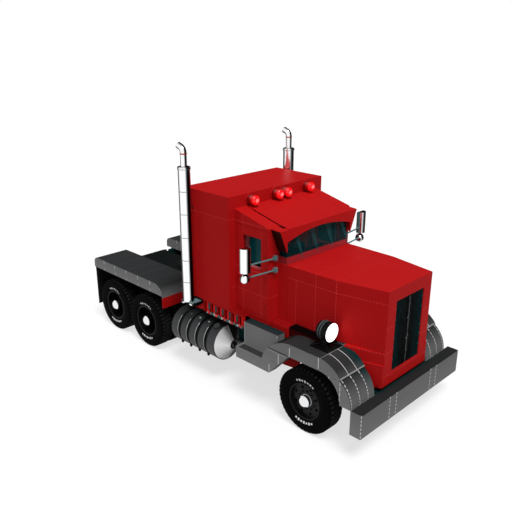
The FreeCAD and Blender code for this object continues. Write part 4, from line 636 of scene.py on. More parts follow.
def swept(name, path, radius, material, count=12):
    """Tube: a circle carried along a smooth line through the path's points, square to it, its ends closed."""
    path = np.array(path, float)
    knots = np.arange(len(path), dtype=float)
    fine = np.linspace(0, len(path) - 1, 10 * len(path))
    line = np.stack([np.interp(fine, knots, path[:, k]) for k in range(3)], -1)
    blur = np.array([1.0, 4.0, 7.0, 9.0, 7.0, 4.0, 1.0]) / 33.0
    soft = np.pad(line, ((3, 3), (0, 0)), "reflect", reflect_type="odd")
    line = np.stack([np.convolve(soft[:, k], blur, "valid") for k in range(3)], -1)
    way = np.gradient(line, axis=0)
    way = way / np.linalg.norm(way, axis=1)[:, None]
    side = np.cross(way, (0.30, 0.22, 0.93))
    side = side / np.linalg.norm(side, axis=1)[:, None]
    up = np.cross(way, side)
    angle = np.arange(count) / count * 2 * math.pi
    round_ = np.cos(angle)[None, :, None] * side[:, None] + np.sin(angle)[None, :, None] * up[:, None]
    share = np.full(len(line), radius)
    share[0] = share[-1] = 0.0
    line[1] = line[0]
    line[-2] = line[-1]
    return weld(grid_mesh(name, line[:, None] + share[:, None, None] * round_, material, around=True))


HEX_HEAD = np.array([(0.0, 0.0), (0.0, 1.0), (0.8, 1.0), (1.0, 0.78), (1.0, 0.0)])
ROUND_HEAD = np.array([(0.0, 0.0), (0.0, 1.0), (0.45, 0.9), (0.85, 0.55), (1.0, 0.0)])


def heads(name, places, way, size, height, material, shape=HEX_HEAD, sides=6):
    """Bolt heads: a small profile carried round an axis, repeated at each place, all facing one way."""
    places = np.asarray(places, float).reshape(-1, 3)
    way, side, up = square_to(way)
    angle = np.arange(sides) / sides * 2 * math.pi
    spoke = np.cos(angle)[:, None] * side + np.sin(angle)[:, None] * up
    ring = shape[:, :1, None] * height * way + shape[:, 1:, None] * size * spoke
    index = np.arange(len(shape) * sides).reshape(len(shape), sides)
    index = np.concatenate([index, index[:, :1]], 1)
    quad = np.stack([index[:-1, :-1], index[:-1, 1:], index[1:, 1:], index[1:, :-1]], -1).reshape(-1, 4)
    faces = quad[None] + ring.shape[0] * sides * np.arange(len(places))[:, None, None]
    points = places[:, None, None, :] + ring[None]
    return weld(solid_mesh(name, points.reshape(-1, 3), faces.reshape(-1, 4), material, smooth=sides > 6))


def on_circle(centre, radius, count, wide):
    """Places evenly round an upright circle that spreads along Z and along axis number wide."""
    angle = np.arange(count) / count * 2 * math.pi
    places = np.tile(np.array(centre, float), (count, 1))
    places[:, wide] += radius * np.sin(angle)
    places[:, 2] += radius * np.cos(angle)
    return places


def soft_cube(count, power):
    """Cube from -1 to 1 with soft corners: a sphere's directions, each divided by its superellipse norm."""
    fall, turn = np.meshgrid(np.linspace(math.pi, 0, count),
                             np.linspace(0, 2 * math.pi, 2 * count, endpoint=False), indexing="ij")
    way = np.stack([np.sin(fall) * np.cos(turn), np.sin(fall) * np.sin(turn), np.cos(fall)], -1)
    return way * ((np.abs(way) ** power).sum(-1) ** (-1 / power))[..., None]


def block(name, low, high, material, power=9.0, count=14):
    """Box between two corners, its edges soft: a soft cube stretched to the box's size."""
    low, high = np.array(low, float), np.array(high, float)
    points = soft_cube(count, power) * (high - low) / 2 + (low + high) / 2
    return weld(grid_mesh(name, points, material, around=True))


def span(side, inner, outer):
    """Low and high Y of what reaches from inner to outer on one side of the vehicle."""
    return sorted((side * inner, side * outer))


def prism(name, outline, low, high, material):
    """Block with an outline in X and Z, carried across Y from low to high.

    X is counted from the front axle. The ends close on the outline's middle.
    """
    outline = np.array([(ahead(x), z) for x, z in outline])
    centre = np.broadcast_to(outline.mean(0), outline.shape)
    rows = [(centre, low), (outline, low), (outline, high), (centre, high)]
    points = np.stack([np.stack([edge[:, 0], np.full(len(edge), y), edge[:, 1]], -1) for edge, y in rows])
    return weld(grid_mesh(name, points, material, around=True, smooth=False))


def slats(name, low, high, count, share, material):
    """Row of thin upright fins across Y: one box's eight corners, shifted by a pitch for each fin."""
    low, high = np.array(low, float), np.array(high, float)
    size = high - low
    pitch = size[1] / count
    corner = [(0, 0, 0), (1, 0, 0), (1, 1, 0), (0, 1, 0), (0, 0, 1), (1, 0, 1), (1, 1, 1), (0, 1, 1)]
    quads = np.array([(0, 3, 2, 1), (4, 5, 6, 7), (0, 1, 5, 4), (1, 2, 6, 5), (2, 3, 7, 6), (3, 0, 4, 7)])
    shift = np.stack([np.zeros(count), pitch * np.arange(count), np.zeros(count)], -1)
    points = low + np.array(corner) * (size[0], pitch * share, size[2]) + shift[:, None]
    faces = quads[None] + 8 * np.arange(count)[:, None, None]
    return weld(solid_mesh(name, points.reshape(-1, 3), faces.reshape(-1, 4), material, smooth=False))


def tunnel(name, low, high, wall, material):
    """Open rectangular tube along Y: a wall's section carried round the opening's four corners."""
    low, high = np.array(low, float), np.array(high, float)
    corners = np.array([(0, 0), (1, 0), (1, 1), (0, 1)])
    rows = []
    for y, grow in ((low[1], wall), (low[1], 0.0), (high[1], 0.0), (high[1], wall)):
        x = low[0] + (high[0] - low[0]) * corners[:, 0] + grow * (2 * corners[:, 0] - 1)
        z = low[2] + (high[2] - low[2]) * corners[:, 1] + grow * (2 * corners[:, 1] - 1)
        rows.append(np.stack([x, np.full(4, y), z], -1))
    return weld(grid_mesh(name, np.stack(rows), material, around=True, along=True, smooth=False))


CHANNEL_DEPTH = 0.009
CHANNEL_SPREAD = 0.035      # in shares of the pad's half length
SEAM_DEPTH = 0.004
SEAM_SPREAD = 0.10          # in shares of the pad's half thickness
EDGE = 0.8                  # share of the half size past which a point counts as on the pad's edge


def pad(name, low, high, thick, material, crown, pull, bolster=0.0, channels=(), lean=0.0):
    """Stuffed pad sewn from panels.

    A soft cube whose two broad faces swell by a crown towards their middle and dip where channels are sewn
    across Y, whose sides pull in between the corners, and whose long edges may rise into bolsters. Thick is
    the axis the pad is thin along; lean slides it along X with height. A seam is sunk round the middle of
    its edge.
    """
    low, high = np.array(low, float), np.array(high, float)
    unit = soft_cube(56, 6.0)
    long_, wide, deep = (0, 1, 2) if thick == "z" else (2, 1, 0)
    half = (high - low) / 2
    u, v, w = unit[..., long_], unit[..., wide], unit[..., deep]
    end, flank = np.abs(u) > EDGE, np.abs(v) > EDGE
    broad = np.clip(np.abs(w) * 1.25 - 0.25, 0, 1)
    swell = crown * (1 - u ** 2) * (1 - v ** 2)
    for place in channels:
        swell = swell - CHANNEL_DEPTH * np.exp(-((u - place) / CHANNEL_SPREAD) ** 2)
    swell = swell + bolster * np.clip((np.abs(v) - 0.62) / 0.25, 0, 1) * (w > 0)
    out = np.zeros_like(unit)
    out[..., deep] = w * (half[deep] - crown - bolster * 0.5) + np.sign(w) * broad * swell
    seam = SEAM_DEPTH * np.exp(-(w / SEAM_SPREAD) ** 2)
    out[..., long_] = u * (half[long_] - pull * (1 - v ** 2) * end) - np.sign(u) * seam * end
    out[..., wide] = v * (half[wide] - pull * (1 - u ** 2) * flank) - np.sign(v) * seam * flank
    out[..., 0] += lean * out[..., 2]
    piece = weld(grid_mesh(name, out + (low + high) / 2, material, around=True))
    fit(piece, "chassis", "seats")


def fit(piece, body, stands_for=None):
    """Lets a piece ride on a body, and hides the CAD node that it stands for, if any."""
    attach(piece, body)
    if stands_for:
        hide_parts(stands_for)


# ---------------------------------------------------------------- red panels
SKIRT_FRONT = -1.403
RIB_PITCH = 0.084
RIB_WIDTH = 0.044
ROOF_PANEL_HALF = 0.730
CAB_SEAMS = [
    ("z", 2.842, "x", -1.70, -0.99, "y"), ("z", 2.11, "x", -1.70, -0.99, "y"),
    ("z", 1.745, "x", -1.70, -0.99, "y"), ("x", -1.526, "z", 1.37, 2.13, "y"),
    ("x", -1.526, "z", 2.66, 3.00, "y"), ("x", -1.139, "z", 2.66, 2.84, "y"),
    ("x", -1.139, "z", 1.37, 2.13, "y"), ("z", 1.745, "y", 0.76, 0.97, "x"),
    ("z", 2.11, "y", 0.76, 0.97, "x")]
SLEEPER_SEAMS = [
    ("z", 2.86, "x", -2.83, -1.71, "y"), ("z", 2.86, "y", 0.97, 1.10, "x"),
    ("z", 1.745, "y", 0.0, 1.04, "x"), ("z", 2.86, "y", 0.0, 1.04, "x"),
    ("y", 0.366, "x", -2.80, -1.72, "z"), ("x", -2.265, "y", 0.0, 1.10, "z")]
HOOD_SEAMS = [
    ("z", 2.081, "x", -0.98, 0.86, "y"), ("x", -0.63, "z", 1.36, 2.08, "y"),
    ("x", -0.264, "z", 1.36, 2.27, "y"), ("x", 0.10, "z", 1.36, 2.27, "y"),
    ("z", 1.72, "y", 0.356, 0.56, "x"), ("z", 1.335, "y", 0.356, 0.56, "x"),
    ("z", 0.965, "y", 0.0, 0.60, "x"), ("z", 1.335, "x", 0.3, 0.86, "y"),
    ("y", 0.38, "x", -0.79, 0.85, "z"), ("x", -0.264, "y", 0.0, 0.74, "z"), ("x", 0.10, "y", 0.0, 0.71, "z")]
BROW_SEAMS = [("y", 0.366, "x", -1.62, -0.80, "z")]


def hood_foot(finish):
    """Painted shade: a dark strip along the nose's lower edge, and over the hood's inside."""
    inside = (abs(finish.y) < 0.53) * (finish.x < ahead(0.846)) * (finish.z < 2.255)
    return (finish.z < 0.810).or_(inside)


def brow_ends(finish):
    """Painted shade: the brow's underside, and the slit that widens backwards beside its raised middle panel.
    """
    under = (finish.nz < -0.2) * (finish.x > ahead(-0.99))
    wide = abs(finish.y)
    edge = (wide > ROOF_PANEL_HALF - 0.003) * (finish.x < ahead(-0.87)) * (finish.z > 2.83)
    gap = finish.x.ramp(ahead(-1.55), ahead(-0.97), 0.0, 0.034)
    return under.or_(edge * (wide < gap + ROOF_PANEL_HALF))


def skirt_paint():
    """Red enamel with painted light: on the skirt every second rib a bright highlight, the rest a deeper red
    shade, and level ledges darker as shade.
    """
    finish = Finish("skirt_enamel")
    cloud = finish.noise(2.4, 4.0)
    front = ahead(SKIRT_FRONT)
    rib = (front - finish.x) % (2 * RIB_PITCH) < RIB_WIDTH
    deep = finish.x.within(front - 12 * RIB_PITCH, front) * (finish.z < 1.332) * (abs(finish.y) > 1.04)
    ledge = (finish.nz > 0.7) * (abs(finish.y) > 0.95)
    colour = finish.mix(cloud.ramp(0.3, 0.7, 0.0, 0.16), RED, RED_CLOUD)
    # Painted shade over the skirt, a painted highlight on every second rib, and painted shade on level
    # ledges.
    colour = finish.mix(deep, colour, (0.300, 0.0015, 0.0015))
    colour = finish.mix(deep * rib, colour, (0.780, 0.0120, 0.0120))
    colour = finish.mix(ledge * 0.45, colour, RED_SHADE)
    return finish.coat(Base_Color=colour, Roughness=cloud.ramp(0.3, 0.7, 0.42, 0.5),
                       Normal=finish.bump(cloud, 0.1, 0.002), Specular_IOR_Level=0.04)


dress(red_paint("cab_enamel", CAB_SEAMS), "cab_shell")
dress(red_paint("door_enamel", CAB_SEAMS), "door_left", "door_right")
dress(red_paint("sleeper_enamel", SLEEPER_SEAMS), "sleeper_shell")
dress(red_paint("hood_enamel", HOOD_SEAMS, hood_foot), "hood")
dress(red_paint("brow_enamel", BROW_SEAMS, brow_ends), "roof_visor")
dress(skirt_paint(), "side_panels")


# ---------------------------------------------------------------- grey panels
MARK = 0.0065       # half width of a joint mark


def dash(value, pitch, share):
    """Broken line along a value."""
    return value % pitch < pitch * share


def bumper_marks(finish):
    """Upright broken lines on the bumper's face and at its corners; a dark line under its top edge, and
    painted shade half over its top faces.
    """
    face = finish.nx > 0.6
    pairs = lines(abs(finish.y), (0.46, 0.625)) * face
    corner = (abs(finish.y) > 1.292) * (finish.x > ahead(1.035))
    # A dark line under the top edge, and painted shade half over the top faces.
    rim = (finish.z > 0.772) * face.or_((finish.nz > 0.6) * 0.5)
    return pairs.or_(corner) * dash(finish.z, 0.062, 0.6), rim


def fender_marks(finish):
    """Lines along the fender's front, one across its crown, marks on its side, and dark lower lines."""
    x, z = finish.x, finish.z
    wide = abs(finish.y)
    low = z < 1.118
    side = abs(finish.ny) > 0.6
    strips = lines(wide, (0.865, 1.06), 0.0038) * (x > ahead(0.277)) * (1.0 - low) * (finish.nz > -0.3)
    foot = lines(wide, (0.835, 1.025, 1.215), 0.0055) * low * (finish.nx > 0.3) * dash(z, 0.045, 0.62)
    across = x.near(ahead(0.277), 0.0045) * (finish.nz > 0.6)
    ledge = z.within(1.1275, 1.141) * (finish.nx > 0.4)
    marks = x.near(ahead(0.247), MARK) * (z > 1.15)
    marks = marks.or_(x.near(ahead(0.44), MARK) * z.within(0.93, 1.11))
    marks = marks.or_(x.near(ahead(0.632), MARK) * z.within(0.79, 1.09) * dash(z, 0.08, 0.75))
    marks = marks.or_(x.near(ahead(-0.29), MARK) * z.within(1.13, 1.27))
    dark = z.near(1.108, 0.003) * x.within(ahead(0.31), ahead(0.56)) * side
    dark = dark.or_(z.near(0.918, 0.003) * x.within(ahead(0.48), ahead(0.64)) * side)
    dark = dark.or_(z.within(1.103, 1.119) * (x > ahead(0.6)) * (1.0 - side))
    dark = dark.or_((x < ahead(-0.33)) * side * (z < 1.131)).or_((x < ahead(-0.45)) * (finish.nz > 0.3))
    return strips.or_(foot).or_(across * 0.25).or_(ledge * 0.3).or_(marks * side), dark


def rear_fender_marks(finish):
    """Short upright marks along the fender's side, with faint joints across its top in line with them, and a
    painted highlight along the outer lip.
    """
    station = ((finish.x - ahead(-5.180)) % 0.376).near(0.007, 0.0062)
    ends = (finish.z > 1.285).or_((finish.z < 1.215) * 0.75)
    marks = station * (abs(finish.ny) > 0.6) * ends
    joints = station * (finish.nz > 0.9) * dash(finish.y, 0.05, 0.5) * 0.06
    # Painted highlight along the fender's sloping outer lip.
    lip = (abs(finish.y) > 1.244) * finish.nz.within(0.5, 0.98)
    return marks.or_(joints).or_(lip * 0.25), 0.0


def step_marks(finish):
    """Upright marks at the corners, thin dark joints, and the black tread pad let into the lower box."""
    x, z = finish.x, finish.z
    wide = abs(finish.y)
    side = abs(finish.ny) > 0.6
    wing = x.near(ahead(-0.470), MARK) * (z > 0.957)
    front = x.near(ahead(-0.655), MARK) * z.within(0.76, 0.885)
    corner = x.near(ahead(-0.640), 0.009) * z.within(1.262, 1.286)
    rear = (wide < 1.14) * x.near(ahead(-1.337), 0.007) * 0.35
    joint = z.near(0.957, 0.0028) * x.within(ahead(-0.62), ahead(-0.52)) * side
    tread = z.within(0.90, 0.9235) * x.within(ahead(-1.345), ahead(-0.80)) * wide.within(1.136, 1.285)
    return wing.or_(front).or_(corner).or_(rear) * side, joint.or_(tread * (finish.nz > 0.5))


def upper_box_top(finish):
    """Only the tool box's top goes dark, as painted shade."""
    return (finish.nz > 0.6) * (finish.z > 1.25)


def inward(near, far):
    """Turns teal, as painted shade, towards the middle of the vehicle."""
    return lambda finish: abs(finish.y).ramp(near, far, 1.0, 0.0)


def bumper_teal(finish):
    """The bumper's top turns teal as painted shade along its rear edge, under the nose."""
    return finish.x.ramp(ahead(0.935), ahead(0.875)) * abs(finish.y).ramp(0.55, 0.80, 1.0, 0.0)


def beside_cab(finish):
    """The rear fender turns teal as painted shade beside the sleeper."""
    return finish.x.ramp(ahead(-3.45), ahead(-3.10)) * abs(finish.y).ramp(0.75, 1.20, 1.0, 0.2)


dress(grey_coat("bumper_grey", bumper_marks, 0.41, 0.78, teal=bumper_teal), "front_bumper")
dress(grey_coat("fender_grey", fender_marks, 0.75, 1.33, teal=inward(0.70, 0.92)), "front_fenders")
dress(grey_coat("rear_fender_grey", rear_fender_marks, 1.1, 1.36, teal=beside_cab), "rear_fenders")
dress(grey_coat("step_grey", step_marks, 0.735, 1.35, upper_box_top, inward(0.98, 1.13)), "step_boxes")


# ---------------------------------------------------------------- other CAD nodes
def bracket_metal():
    """Dark teal brackets with black tank straps and a paler shelf under each stack."""
    finish = Finish("bracket_teal")
    wear = finish.noise(14.0, 6.0)
    strap = distance(abs(finish.y) - TANK_Y, finish.z - TANK_Z) < 0.3165
    shelf = finish.z.within(1.295, 1.315) * (finish.nz > 0.5)
    colour = finish.mix(wear.ramp(0.5, 0.72), (0.0012, 0.017, 0.019), (0.006, 0.028, 0.030))
    colour = finish.mix(shelf, colour, (0.125, 0.195, 0.200))
    colour = finish.mix(strap, colour, (0.0018, 0.0022, 0.0022))
    return finish.coat(Base_Color=colour, Roughness=wear.ramp(0.3, 0.8, 0.5, 0.7),
                       Normal=finish.bump(wear, 0.15, 0.0015), Specular_IOR_Level=0.05)


def tread_plate():
    """Black deck plate with a raised pattern of crossed diagonals."""
    finish = Finish("deck_tread")
    raised = crossed(finish.x, finish.y, 88.0).ramp(0.55, 0.8)
    soil = finish.noise(6.0, 5.0)
    colour = finish.mix(soil.ramp(0.4, 0.75), (0.0030, 0.0046, 0.0046), (0.0055, 0.0066, 0.0066))
    return finish.coat(Base_Color=colour, Roughness=raised * -0.15 + soil.ramp(0.3, 0.8, 0.62, 0.78),
                       Normal=finish.bump(raised, 0.5, 0.003), Specular_IOR_Level=0.05)


def marker_housing():
    """Red housing of a marker lamp, bright and softly lit towards its front."""
    finish = Finish("marker_housing")
    haze = finish.noise(30.0, 3.0)
    # Painted shade deepens the housing towards its rear, and a painted glow lights its front.
    shell = finish.x.ramp(ahead(-1.66), ahead(-1.60))
    tint = finish.mix(shell, (0.220, 0.0030, 0.0035), (0.62, 0.008, 0.010))
    light = finish.mix(finish.x.ramp(ahead(-1.62), ahead(-1.57)), (0.0, 0.0, 0.0), (0.55, 0.004, 0.006))
    colour = finish.mix(haze.ramp(0.4, 0.8, 0.0, 0.4), tint, (0.04, 0.001, 0.001))
    return finish.coat(Base_Color=colour, Roughness=haze.ramp(0.3, 0.7, 0.25, 0.4), Emission_Color=light,
                       Emission_Strength=0.5)


def mirror_arms(finish):
    """The arms and their feet, not the housing or the ball."""
    return abs(finish.y) < MIRROR_Y - 0.075


def pane_joints(finish):
    """Strips between the windscreen's panes, drawn to a point at the foot and leaning to the right."""
    rise = finish.z - 2.283
    across = (finish.y + 0.192) % 0.370 - 0.185
    return (across + rise * 0.40 > 0.0) * (across + rise * 0.09 < 0.0)


iron = dark_metal("chassis_teal", (0.0015, 0.020, 0.022), (0.006, 0.028, 0.030), 0.5)
cast = dark_metal("cast_iron", (0.010, 0.012, 0.013), (0.028, 0.026, 0.024), 0.55)
deck = dark_metal("deck_black", (0.0050, 0.0068, 0.0068), (0.0085, 0.0095, 0.0095), 0.6)
lamp_shell = dark_metal("lamp_shell", (0.003, 0.0035, 0.004), (0.008, 0.0085, 0.009), 0.3)
marker_red = glowing("marker_lens", (0.70, 0.008, 0.012), (1.0, 0.02, 0.03), 0.55, 14.0)
STACK_JOINTS = (1.66, 2.04, 2.43, 2.82, 3.19, 3.545)
STACK_BAND = (3.772, 3.792, (0.35, 0.01, 0.01))
dress(iron, "frame_rails", "crossmembers", "suspension", "radiator", "light_bar", "battery_boxes")
dress(bracket_metal(), "chassis_brackets")
dress(cast, "front_axle", "knuckle_left", "knuckle_right", "tie_rod", "drive_axles", "engine_block",
      "exhaust_piping")
dress(tread_plate(), "rear_deck")
dress(deck, "fifth_wheel", "fifth_wheel_feet")
dress(moulded("flap_rubber", (0.006, 0.006, 0.0065), 0.75, 90.0), "mud_flaps")
dress(moulded("dash_plastic", (0.003, 0.026, 0.028), 0.55), "dashboard")
dress(bar_metal(), "grille")
dress(lamp_shell, "headlights")
dress(tank_metal(), "fuel_tanks")
dress(chrome("stack_chrome", STACK_JOINTS, [STACK_BAND]), "exhaust_stacks")
dress(chrome("mirror_chrome", dull=mirror_arms), "mirrors")
dress(marker_housing(), "marker_lamps")
dress(marker_red, "tail_lamps")
dress(tinted_glass("windscreen_glass", (0.001, 0.034, 0.040), 0.50, pane_joints), "windscreen")


# ---------------------------------------------------------------- door windows and small red panels
def level_faces(finish):
    """Faces that look up, painted darker as shade to stay as deep as the upright ones beside them."""
    return (finish.nz > 0.7) * 0.45


def window_haze():
    """Pale pinkish red of the window frame's inside: painted light on a frame that lies in shade."""
    finish = Finish("window_haze")
    veil = finish.noise(3.0, 3.0)
    # Painted light: a pale pinkish red where the frame lies in shade.
    return finish.coat(Base_Color=finish.mix(veil, (0.62, 0.120, 0.130), (0.50, 0.100, 0.110)),
                       Roughness=veil.ramp(0.3, 0.7, 0.5, 0.6), Specular_IOR_Level=0.04)


def riser_shaded_enamel():
    """Grimy deep red of painted shade that goes black towards the hood's edge above it."""
    finish = Finish("riser_shaded_enamel")
    grime = finish.noise(12.0, 4.0)
    # Painted shade: a grimy deep red, going black towards the hood's edge above.
    colour = finish.mix(grime.ramp(0.3, 0.7, 0.0, 0.3), (0.075, 0.0016, 0.0016), (0.04, 0.001, 0.001))
    colour = finish.mix(finish.z.ramp(1.318, 1.372), colour, (0.0008, 0.0006, 0.0006))
    return finish.coat(Base_Color=colour, Roughness=grime.ramp(0.3, 0.7, 0.5, 0.6),
                       Normal=finish.bump(grime, 0.1, 0.001), Specular_IOR_Level=0.04)


DOOR_FACE = 0.966
REVEAL = 0.135              # how deep the pane lies behind the door's face
WINDOW_REAR = ahead(-1.526)
WINDOW_FRONT = ahead(-1.139)
WINDOW_LOW = 2.137
WINDOW_HIGH = 2.653
COWL_STEP = 0.185           # from the hood's rear corner to the cowl's
haze = window_haze()
frame_red = red_paint("window_frame_red", shade=level_faces)
lining_red = red_paint("lining_red")
pane = tinted_glass("door_pane", (0.000, 0.105, 0.120), 0.92)
riser_red = riser_shaded_enamel()

# outlines are (station ahead of the front axle, height) pairs
RISER = [(-0.615, 1.215), (-0.420, 1.270), (-0.290, 1.300), (0.180, 1.300), (0.180, 1.374), (-0.615, 1.374)]
HOOD_CORNER = [(-0.620, 1.190), (-0.620, 1.356), (-0.798, 1.356), (-0.798, 1.190)]
COWL_CORNER = [(x - COWL_STEP, z) for x, z in HOOD_CORNER]
LINER = [(-0.972, 1.320), (-0.972, 0.545), (-0.930, 0.528), (-0.660, 0.556), (-0.585, 0.640), (-0.575, 0.760),
         (-0.575, 1.320)]
GUSSET = [(-2.372, 1.285), (-2.372, 1.176), (-2.400, 1.166), (-2.560, 1.146), (-2.560, 1.156)]
RED_PANELS = [("fender_riser_", RISER, 0.742, 0.897, riser_red, "hood_assembly"),
              ("hood_corner_", HOOD_CORNER, 0.750, 0.932, frame_red, "hood_assembly"),
              ("cowl_corner_", COWL_CORNER, 0.750, 0.932, frame_red, "chassis"),
              ("engine_bay_side_", LINER, 0.655, 0.675, lining_red, "chassis"),
              ("skirt_gusset_", GUSSET, 1.086, 1.096, frame_red, "chassis")]
for label, side in SIDES:
    y0, y1 = span(side, 0.926, DOOR_FACE - REVEAL)
    lining = tunnel("window_reveal_" + label, (WINDOW_REAR, y0, WINDOW_LOW), (WINDOW_FRONT, y1, WINDOW_HIGH),
                    0.008, haze)
    fit(lining, "door_" + label)
    y0, y1 = span(side, DOOR_FACE - REVEAL, 0.960 - REVEAL)
    glass = block("window_pane_" + label, (WINDOW_REAR, y0, WINDOW_LOW + 0.040),
                  (WINDOW_FRONT, y1, WINDOW_HIGH), pane, 40.0, 24)
    fit(glass, "door_" + label, "door_glass_" + label)
    for name, outline, inner, outer, paint, body in RED_PANELS:
        fit(prism(name + label, outline, *span(side, inner, outer), paint), body)

# ---------------------------------------------------------------- wheels
FRONT_DISC = 1.183          # outer face of a wheel's disc
TWIN_DISC = 0.984
NUT_CIRCLE = 0.143
CAP_BOLT_CIRCLE = 0.0835
nut_steel = dark_metal("nut_steel", (0.02, 0.02, 0.022), (0.05, 0.05, 0.05), 0.35)
AXLES = [("front", FRONT_AXLE, "tyre_front_", "wheel_front_", "front_wheel_", FRONT_DISC),
         ("second", SECOND_AXLE, "tyres_second_", "wheels_second_", "second_axle_wheels_", TWIN_DISC),
         ("third", THIRD_AXLE, "tyres_third_", "wheels_third_", "third_axle_wheels_", TWIN_DISC)]
for axle, station, tyres, wheels, body, disc in AXLES:
    rubber = tyre_rubber(axle + "_tyre_rubber", station)
    metal = wheel_metal(axle + "_wheel_black", station)
    single = axle == "front"
    width = FRONT_TYRE_WIDTH if single else TWIN_TYRE_WIDTH
    for label, side in SIDES:
        dress(metal, wheels + label)
        for i, face in enumerate((WHEEL_FACE,) if single else (WHEEL_FACE, WHEEL_FACE - TWIN_STEP)):
            tread = tyre_surface(f"{axle}_tread_{label}_{i + 1}", width, face, station, side, rubber)
            fit(tread, body + label, tyres + label)
        nuts = on_circle((station, side * disc, WHEEL_Z), NUT_CIRCLE, 10, 0)
        fit(heads(f"{axle}_nuts_{label}", nuts, (0, side, 0), 0.017, 0.024, nut_steel), body + label)
        bolts = on_circle((station, side * (WHEEL_FACE - 0.0105), WHEEL_Z), CAP_BOLT_CIRCLE, 8, 0)
        fit(heads(f"{axle}_cap_bolts_{label}", bolts, (0, side, 0), 0.0065, 0.006, nut_steel),
            body + label)


# ---------------------------------------------------------------- head, marker and tail lamps
def lens_core(name, edge, core, strength, reach, y, z):
    """Moulded lens lit most strongly round its middle, at a distance y from the vehicle's and a height z."""
    finish = Finish(name)
    away = distance(abs(finish.y) - y, finish.z - z)
    rings = (away * 260.0).math("SINE").ramp(-1.0, 1.0)
    light = finish.mix(away.ramp(reach * 0.15, reach, 1.0, 0.0), edge, core)
    return finish.coat(Base_Color=finish.mix(rings, darker(edge, 0.8), edge),
                       Roughness=rings.ramp(0.0, 1.0, 0.12, 0.2), Emission_Color=light,
                       Emission_Strength=strength, Normal=finish.bump(rings, 0.15, 0.001))


LAMP_FACE = ahead(0.190)
LAMP_Y = 0.900
LAMP_Z = 1.562
PLATE_X = 0.10              # middle of the lamp's foot plate
black_trim = dark_metal("black_trim", (0.004, 0.0045, 0.005), (0.012, 0.012, 0.013), 0.32)
bright_trim = chrome("bright_trim")
head_glass = lens_core("head_lens", (0.92, 0.92, 0.90), (1.0, 1.0, 1.0), 2.2, 0.14, LAMP_Y, LAMP_Z)
band_metal = dark_metal("lamp_band", (0.105, 0.118, 0.120), (0.060, 0.072, 0.074), 0.4, 40.0)
DOME = [(0.0, 0.1385), (0.006, 0.1360), (0.013, 0.120), (0.017, 0.090), (0.020, 0.050), (0.0212, 0.020),
        (0.0214, 0.0)]
BEZEL = [(-0.030, 0.1398), (-0.028, 0.1430), (-0.022, 0.1440), (-0.004, 0.1440), (0.002, 0.1420),
         (0.003, 0.1390), (0.000, 0.1370), (-0.003, 0.1300)]
CLAMP = [(-0.009, 0.1398), (-0.008, 0.1425), (0.008, 0.1425), (0.009, 0.1398)]
for label, side in SIDES:
    lamp_y = side * LAMP_Y
    centre = (LAMP_FACE, lamp_y, LAMP_Z)
    fit(turned("head_lens_" + label, DOME, centre, AHEAD, head_glass, 56), "hood_assembly")
    fit(turned("head_bezel_" + label, BEZEL, centre, AHEAD, black_trim, 56), "hood_assembly")
    for i, station in enumerate((0.045, 0.085)):
        centre = (ahead(station), lamp_y, LAMP_Z)
        ring = turned(f"head_clamp_{label}_{i + 1}", CLAMP, centre, AHEAD, band_metal, 48)
        fit(ring, "hood_assembly")
    bolts = [(ahead(PLATE_X + 0.135 * a), lamp_y + 0.135 * b, 1.3365) for a, b in CORNERS]
    fit(heads("head_plate_bolts_" + label, bolts, UP, 0.014, 0.012, black_trim), "hood_assembly")
    for i, (a, b) in enumerate(CORNERS):
        rib = [(ahead(PLATE_X + 0.150 * a), lamp_y + 0.150 * b, 1.341),
               (ahead(PLATE_X + 0.04 * a), lamp_y + 0.04 * b, 1.372)]
        fit(swept(f"head_plate_rib_{label}_{i + 1}", rib, 0.011, black_trim, 8), "hood_assembly")

pale_strip = dark_metal("divider_metal", (0.095, 0.105, 0.108), (0.010, 0.016, 0.017), 0.4, 16.0)
teal_clip = dark_metal("teal_clip", (0.001, 0.085, 0.088), (0.001, 0.040, 0.042), 0.5, 30.0)
divider = block("grille_divider", (ahead(0.847), -0.006, 1.015), (ahead(0.857), 0.006, 2.062), pale_strip,
                10.0, 12)
fit(divider, "hood_assembly")
CLIPS = ((0.012, 1.20), (-0.014, 1.40), (0.014, 1.44), (0.014, 1.68), (-0.012, 1.72), (0.012, 1.93))
places = [(ahead(0.848), y, z) for y, z in CLIPS]
fit(heads("grille_clips", places, AHEAD, 0.017, 0.011, pale_strip, ROUND_HEAD), "hood_assembly")
places = [(ahead(0.846), y, z) for y in (-0.340, 0.340) for z in (1.18, 1.36, 1.50, 1.79, 1.95)]
fit(heads("grille_side_clips", places, AHEAD, 0.018, 0.011, teal_clip, ROUND_HEAD), "hood_assembly")

MARKER_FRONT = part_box("marker_lamps")[1].x
MARKER_Z = middle("marker_lamps").z
MARKER_CAP = [(-0.010, 0.0700), (-0.008, 0.0735), (0.004, 0.0735), (0.010, 0.0700), (0.020, 0.0610),
              (0.028, 0.0440), (0.032, 0.0220), (0.033, 0.0)]
MARKER_FOOT = [(0.0, 0.0700), (0.0, 0.0860), (0.010, 0.0860), (0.016, 0.0820), (0.020, 0.0700)]
lamp_foot = red_paint("lamp_foot_red")
for i, y in enumerate((-0.660, -0.100, 0.100, 0.660)):
    glass = lens_core(f"marker_glass_{i + 1}", (0.80, 0.004, 0.006), (1.0, 0.30, 0.31), 0.95, 0.042,
                      abs(y), MARKER_Z)
    cap = turned(f"marker_lens_{i + 1}", MARKER_CAP, (MARKER_FRONT, y, MARKER_Z), AHEAD, glass, 36)
    fit(cap, "chassis")
    foot = turned(f"marker_foot_{i + 1}", MARKER_FOOT, (ahead(-1.706), y, MARKER_Z), AHEAD, lamp_foot, 36)
    fit(foot, "chassis")

